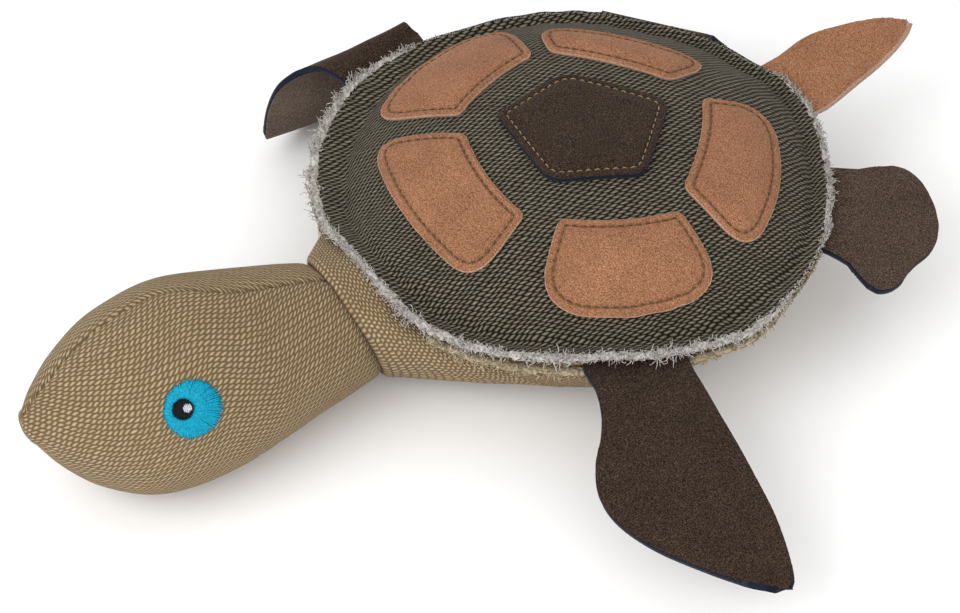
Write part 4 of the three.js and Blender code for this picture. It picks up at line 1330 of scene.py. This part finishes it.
# Cuts of the leather, in millimetres: how far out from the hinge, with the leading and the trailing
# edge there, or with one place along a fan's curved edge
FRONT_OUTLINE = [
    (-9, -19.5, 18), (-4, -17.6, 19.5), (0, -16, 21), (10, -14.8, 24.6), (20, -15.7, 28.6), (31, -18.4, 32.8),
    (43, -18.3, 37.2), (54, -13.2, 41), (64, -2.2, 43.6), (73, 14.3, 45.2), (79, 28, 45.6), (82, 38.6, 44),
]
REAR_EDGE = [
    (8, -24.2), (13, -26), (18.5, -25.8), (24, -21.8), (28.6, -14.2), (31.4, -5.2), (31.8, 0.5), (31.2, 6.5),
    (28.9, 12.2), (25.2, 18), (22, 24.2), (19.8, 30.2), (16.2, 34.8), (11.8, 37), (7.5, 35.6),
]
REAR_ROOT = (-20.4, 27)
REAR_WIDTH = 40
TAIL_OUTLINE = [
    (-9, -14.5, 16.4), (0, -15.4, 16.2), (9, -16.2, 15.2), (17, -15.6, 14), (26, -12.6, 12.6),
    (36, -7.8, 10), (44, -3.4, 6), (48, 0.4, 2.2),
]
# Headings of the leather in degrees, from the root to the tip
FRONT_LEFT_BEND = [(0, -6), (40, -12), (82, -20)]
FRONT_RIGHT_BEND = [(0, 28), (5, 34), (12, -50), (22, -73), (34, -118), (46, -56), (58, -32), (68, 0)]
REAR_LEFT_BEND = [(0, -10), (32, -18)]
REAR_RIGHT_BEND = [(0, -66), (10, -62), (32, -58)]
TAIL_BEND = [(0, 10), (24, 12), (48, 2)]


def bend_line(table):
    """Gives the place and heading of the leather's middle at a distance out from the hinge."""
    heading = smooth_table(table)
    reach = max(row[0] for row in table)
    places = [(0.0, 0.0)]
    for i in range(BEND_STEPS):
        turn = radians(heading((i + 0.5) * reach / BEND_STEPS))
        x, z = places[-1]
        places.append((x + reach / BEND_STEPS * cos(turn), z + reach / BEND_STEPS * sin(turn)))

    def at(out):
        if out <= 0:
            return out, 0.0, radians(heading(0)) * smoothstep(-3, 0, out)
        spot = min(out / reach * BEND_STEPS, BEND_STEPS - 1e-6)
        i = int(spot)
        x = mix(places[i][0], places[i + 1][0], spot - i)
        z = mix(places[i][1], places[i + 1][1], spot - i)
        return x, z, radians(heading(out))

    return at


def between_edges(outline, side, root_length):
    """Cut of a long flap between its leading and trailing edges, root included."""
    lead = smooth_table([(o, a) for o, a, _ in outline])
    trail = smooth_table([(o, b) for o, _, b in outline])
    reach = outline[-1][0]

    def cut(s, t):
        if s < LONG_ROOT_SHARE:
            out = -root_length * (1 - s / LONG_ROOT_SHARE)
        else:
            out = reach * (1 - (1 - (s - LONG_ROOT_SHARE) / (1 - LONG_ROOT_SHARE)) ** 1.3)
        return out, side * mix(lead(out), trail(out), t)

    return cut


def fan(edge, root, width, side, root_length):
    """Cut of a short flap, from a sewn end of one width over its hinge to a curved edge."""
    last = len(edge) - 1
    out_at = smooth_table([(i / last, row[0]) for i, row in enumerate(edge)])
    across_at = smooth_table([(i / last, row[1]) for i, row in enumerate(edge)])

    def cut(s, t):
        sewn, hinged = (t - 0.5) * width, mix(*root, t)
        if s < FAN_ROOT_SHARE:
            along = s / FAN_ROOT_SHARE
            return -root_length * (1 - along), side * mix(sewn, hinged, along ** 1.5)
        along = (s - FAN_ROOT_SHARE) / (1 - FAN_ROOT_SHARE)
        return along * out_at(t), side * mix(hinged, across_at(t), along ** 0.9)

    return cut


def add_flap(node, direction, cut, bend, cells, materials, slot, camber, fold=(0, 0), hang=(0, 0)):
    """One piece of leather from its sewn root to its tip, bent at its joint.

    A fold gives how far its bends are turned and its cut is swept, in degrees. A hang gives how
    far its root is pulled below its joint and in under the rim, in millimetres.
    """
    joint = next(j for j in frame["joints"] if j["name"] == node + "_bend")
    hinge = Vector(joint["pos_m"])
    turn = radians(direction)
    outward = Vector((cos(turn), sin(turn), 0))
    sideways = Vector((-sin(turn), cos(turn), 0))
    line = bend_line(bend)
    fold_turn, sweep = radians(fold[0]), radians(fold[1])

    def place(s, t):
        out, over = cut(s, t)
        if out > 0:
            out, over = out * cos(sweep), over + out * sin(sweep)
        edge = min(t, 1 - t, 1 - s)
        at_edge = (1 - smoothstep(0, 0.02, edge)) * (out > 1)
        ragged = LEATHER_RAGGED * noise.noise(Vector((out, over, 3.0)) * 1.6) * at_edge
        x, z, lean = line(out + ragged)
        hollow = camber * ((2 * t - 1) ** 2 - 0.4)
        uneven = LEATHER_WAVES * rough(out, over, 0, 17)
        lift = (hollow + uneven) * smoothstep(0, 14, out)
        x -= sin(lean) * lift
        pulled = mix(0.72, 1.0, smoothstep(0, 0.45, t)) * smoothstep(HANG_START, -1, out)
        x -= hang[1] * pulled
        z += cos(lean) * lift - hang[0] * pulled
        over += ragged
        eased = smoothstep(0, FOLD_EASE, out)
        ahead = mix(x, x * cos(fold_turn) - over * sin(fold_turn), eased)
        aside = mix(over, x * sin(fold_turn) + over * cos(fold_turn), eased)
        return hinge + outward * ahead * MM + sideways * aside * MM + Vector((0, 0, z * MM))

    made = add_piece(node + "_leather", sheet(*cells, place, (0, 0, 1)), materials, None, slot,
                     [node, node + "_root"], wall=LEATHER, wall_side=0.0, even=False)
    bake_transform(made)
    depths = [(RIM_HALF_WIDTH - rim_radius(*place(0, k / 4).xy)) / MM for k in range(5)]
    print(f"{node} goes in under the rim by {min(depths):.1f} to {max(depths):.1f} mm")


BROWN_LEATHER = [BROWN_SUEDE, NAVY_EDGE, GREY_SUEDE]
# Paler leather for the rear flippers: painted light on the same brown suede
LIT_BROWN_LEATHER = [LIT_BROWN_SUEDE, NAVY_EDGE, GREY_SUEDE]
TAN_LEATHER = [TAN_SUEDE, TAN_EDGE, GREY_SUEDE]
# Direction of each flap in degrees, its cut, bend, cells, leather, slot and camber, and its fold and
# hang where it has them. The last number of a cut is how far behind the hinge the sewn end lies:
# further where the rim is drawn in, so that every end is under the rim
FLAPS = {
    "front_left_flipper": (-28, between_edges(FRONT_OUTLINE, 1, 15.5), FRONT_LEFT_BEND, (150, 70),
                           BROWN_LEATHER, "brown_suede", 0.8),
    "front_right_flipper": (197, between_edges(FRONT_OUTLINE, -1, 9.5), FRONT_RIGHT_BEND, (190, 70),
                            BROWN_LEATHER, "brown_suede", 0.0, (-22, 35)),
    "rear_left_flipper": (51, fan(REAR_EDGE, REAR_ROOT, REAR_WIDTH, -1, 14), REAR_LEFT_BEND, (70, 90),
                          LIT_BROWN_LEATHER, "brown_suede", 0.8),
    "rear_right_flipper": (129, fan(REAR_EDGE, REAR_ROOT, REAR_WIDTH, 1, 15), REAR_RIGHT_BEND, (70, 90),
                           LIT_BROWN_LEATHER, "brown_suede", 0.8, (0, 0), (9, 3)),
    "tail": (90, between_edges(TAIL_OUTLINE, -1, 12.5), TAIL_BEND, (100, 50),
             TAN_LEATHER, "tan_suede", 1.0),
}
for flap_node, settings in FLAPS.items():
    add_flap(flap_node, *settings)
print("flaps:", len(FLAPS))

# %% [markdown]
# Inside, the toy is stuffed with loose fibre, and a squeaker lies in a pocket of it. None of it
# shows, but a toy that is taken apart has it. The stuffing is the model's own solid, its facets
# merged, subdivided and pulled in unevenly, as wadding looks, and drawn in with the rim. The
# stuffing is thinner at the neck's joint, where the canvas folds when the head turns.

# %% Stuffing and squeaker
HEAD_ROOM = 5 * MM
NECK_SHARE = 0.86
LONGEST_EDGE = 5 * MM
LUMPS = 7 * MM
FILLING_BODIES = {"body_filling": "body", "neck_filling": "neck", "head_filling": "head"}
PLAIN_NODES = {"squeaker_bladder": PLASTIC, "squeaker_reed": PLASTIC, "rim_seam_thread": TAN_THREAD}


def add_filling(node, body):
    """Wadding in the shape of one of the model's fillings."""
    shape = bmesh.new()
    shape.from_mesh(frame["nodes"][node].data)
    bmesh.ops.remove_doubles(shape, verts=shape.verts, dist=0.01 * MM)
    shape.normal_update()
    long_edges = [edge for edge in shape.edges if edge.calc_length() > LONGEST_EDGE]
    bmesh.ops.subdivide_edges(shape, edges=long_edges, cuts=1)
    bmesh.ops.triangulate(shape, faces=shape.faces)
    shape.normal_update()
    for vert in shape.verts:
        lump = 0.5 + 0.5 * noise.noise(vert.co / LUMPS)
        vert.co -= vert.normal * (1.0 + 0.8 * lump) * MM
        x, y, _ = vert.co
        if node == "head_filling":
            middle = Vector((0, y, head_middle(y / MM) * MM))
            from_middle = vert.co - middle
            widest = max(head_radius(y / MM) * MM - HEAD_ROOM, MM)
            vert.co = middle + from_middle * min(widest / max(from_middle.length, MM), 1.0)
        if node == "neck_filling":
            vert.co = NECK_PIVOT.lerp(vert.co, NECK_SHARE)
        if node == "body_filling":
            radius = hypot(x, y)
            shift = min(rim_shift(atan2(y, x)), 0.0)
            vert.co.xy *= 1 + shift * smoothstep(0.5, 0.9, radius / SEAM_RADIUS) / max(radius, MM)
    return add_piece(node + "_wadding", shape, [FIBRE], body, "polyester_filling", [node])


for filling_node, filling_body in FILLING_BODIES.items():
    add_filling(filling_node, filling_body)
for plain_node, material in PLAIN_NODES.items():
    frame["nodes"][plain_node].data.materials.clear()
    frame["nodes"][plain_node].data.materials.append(material)
print("fillings:", len(FILLING_BODIES))
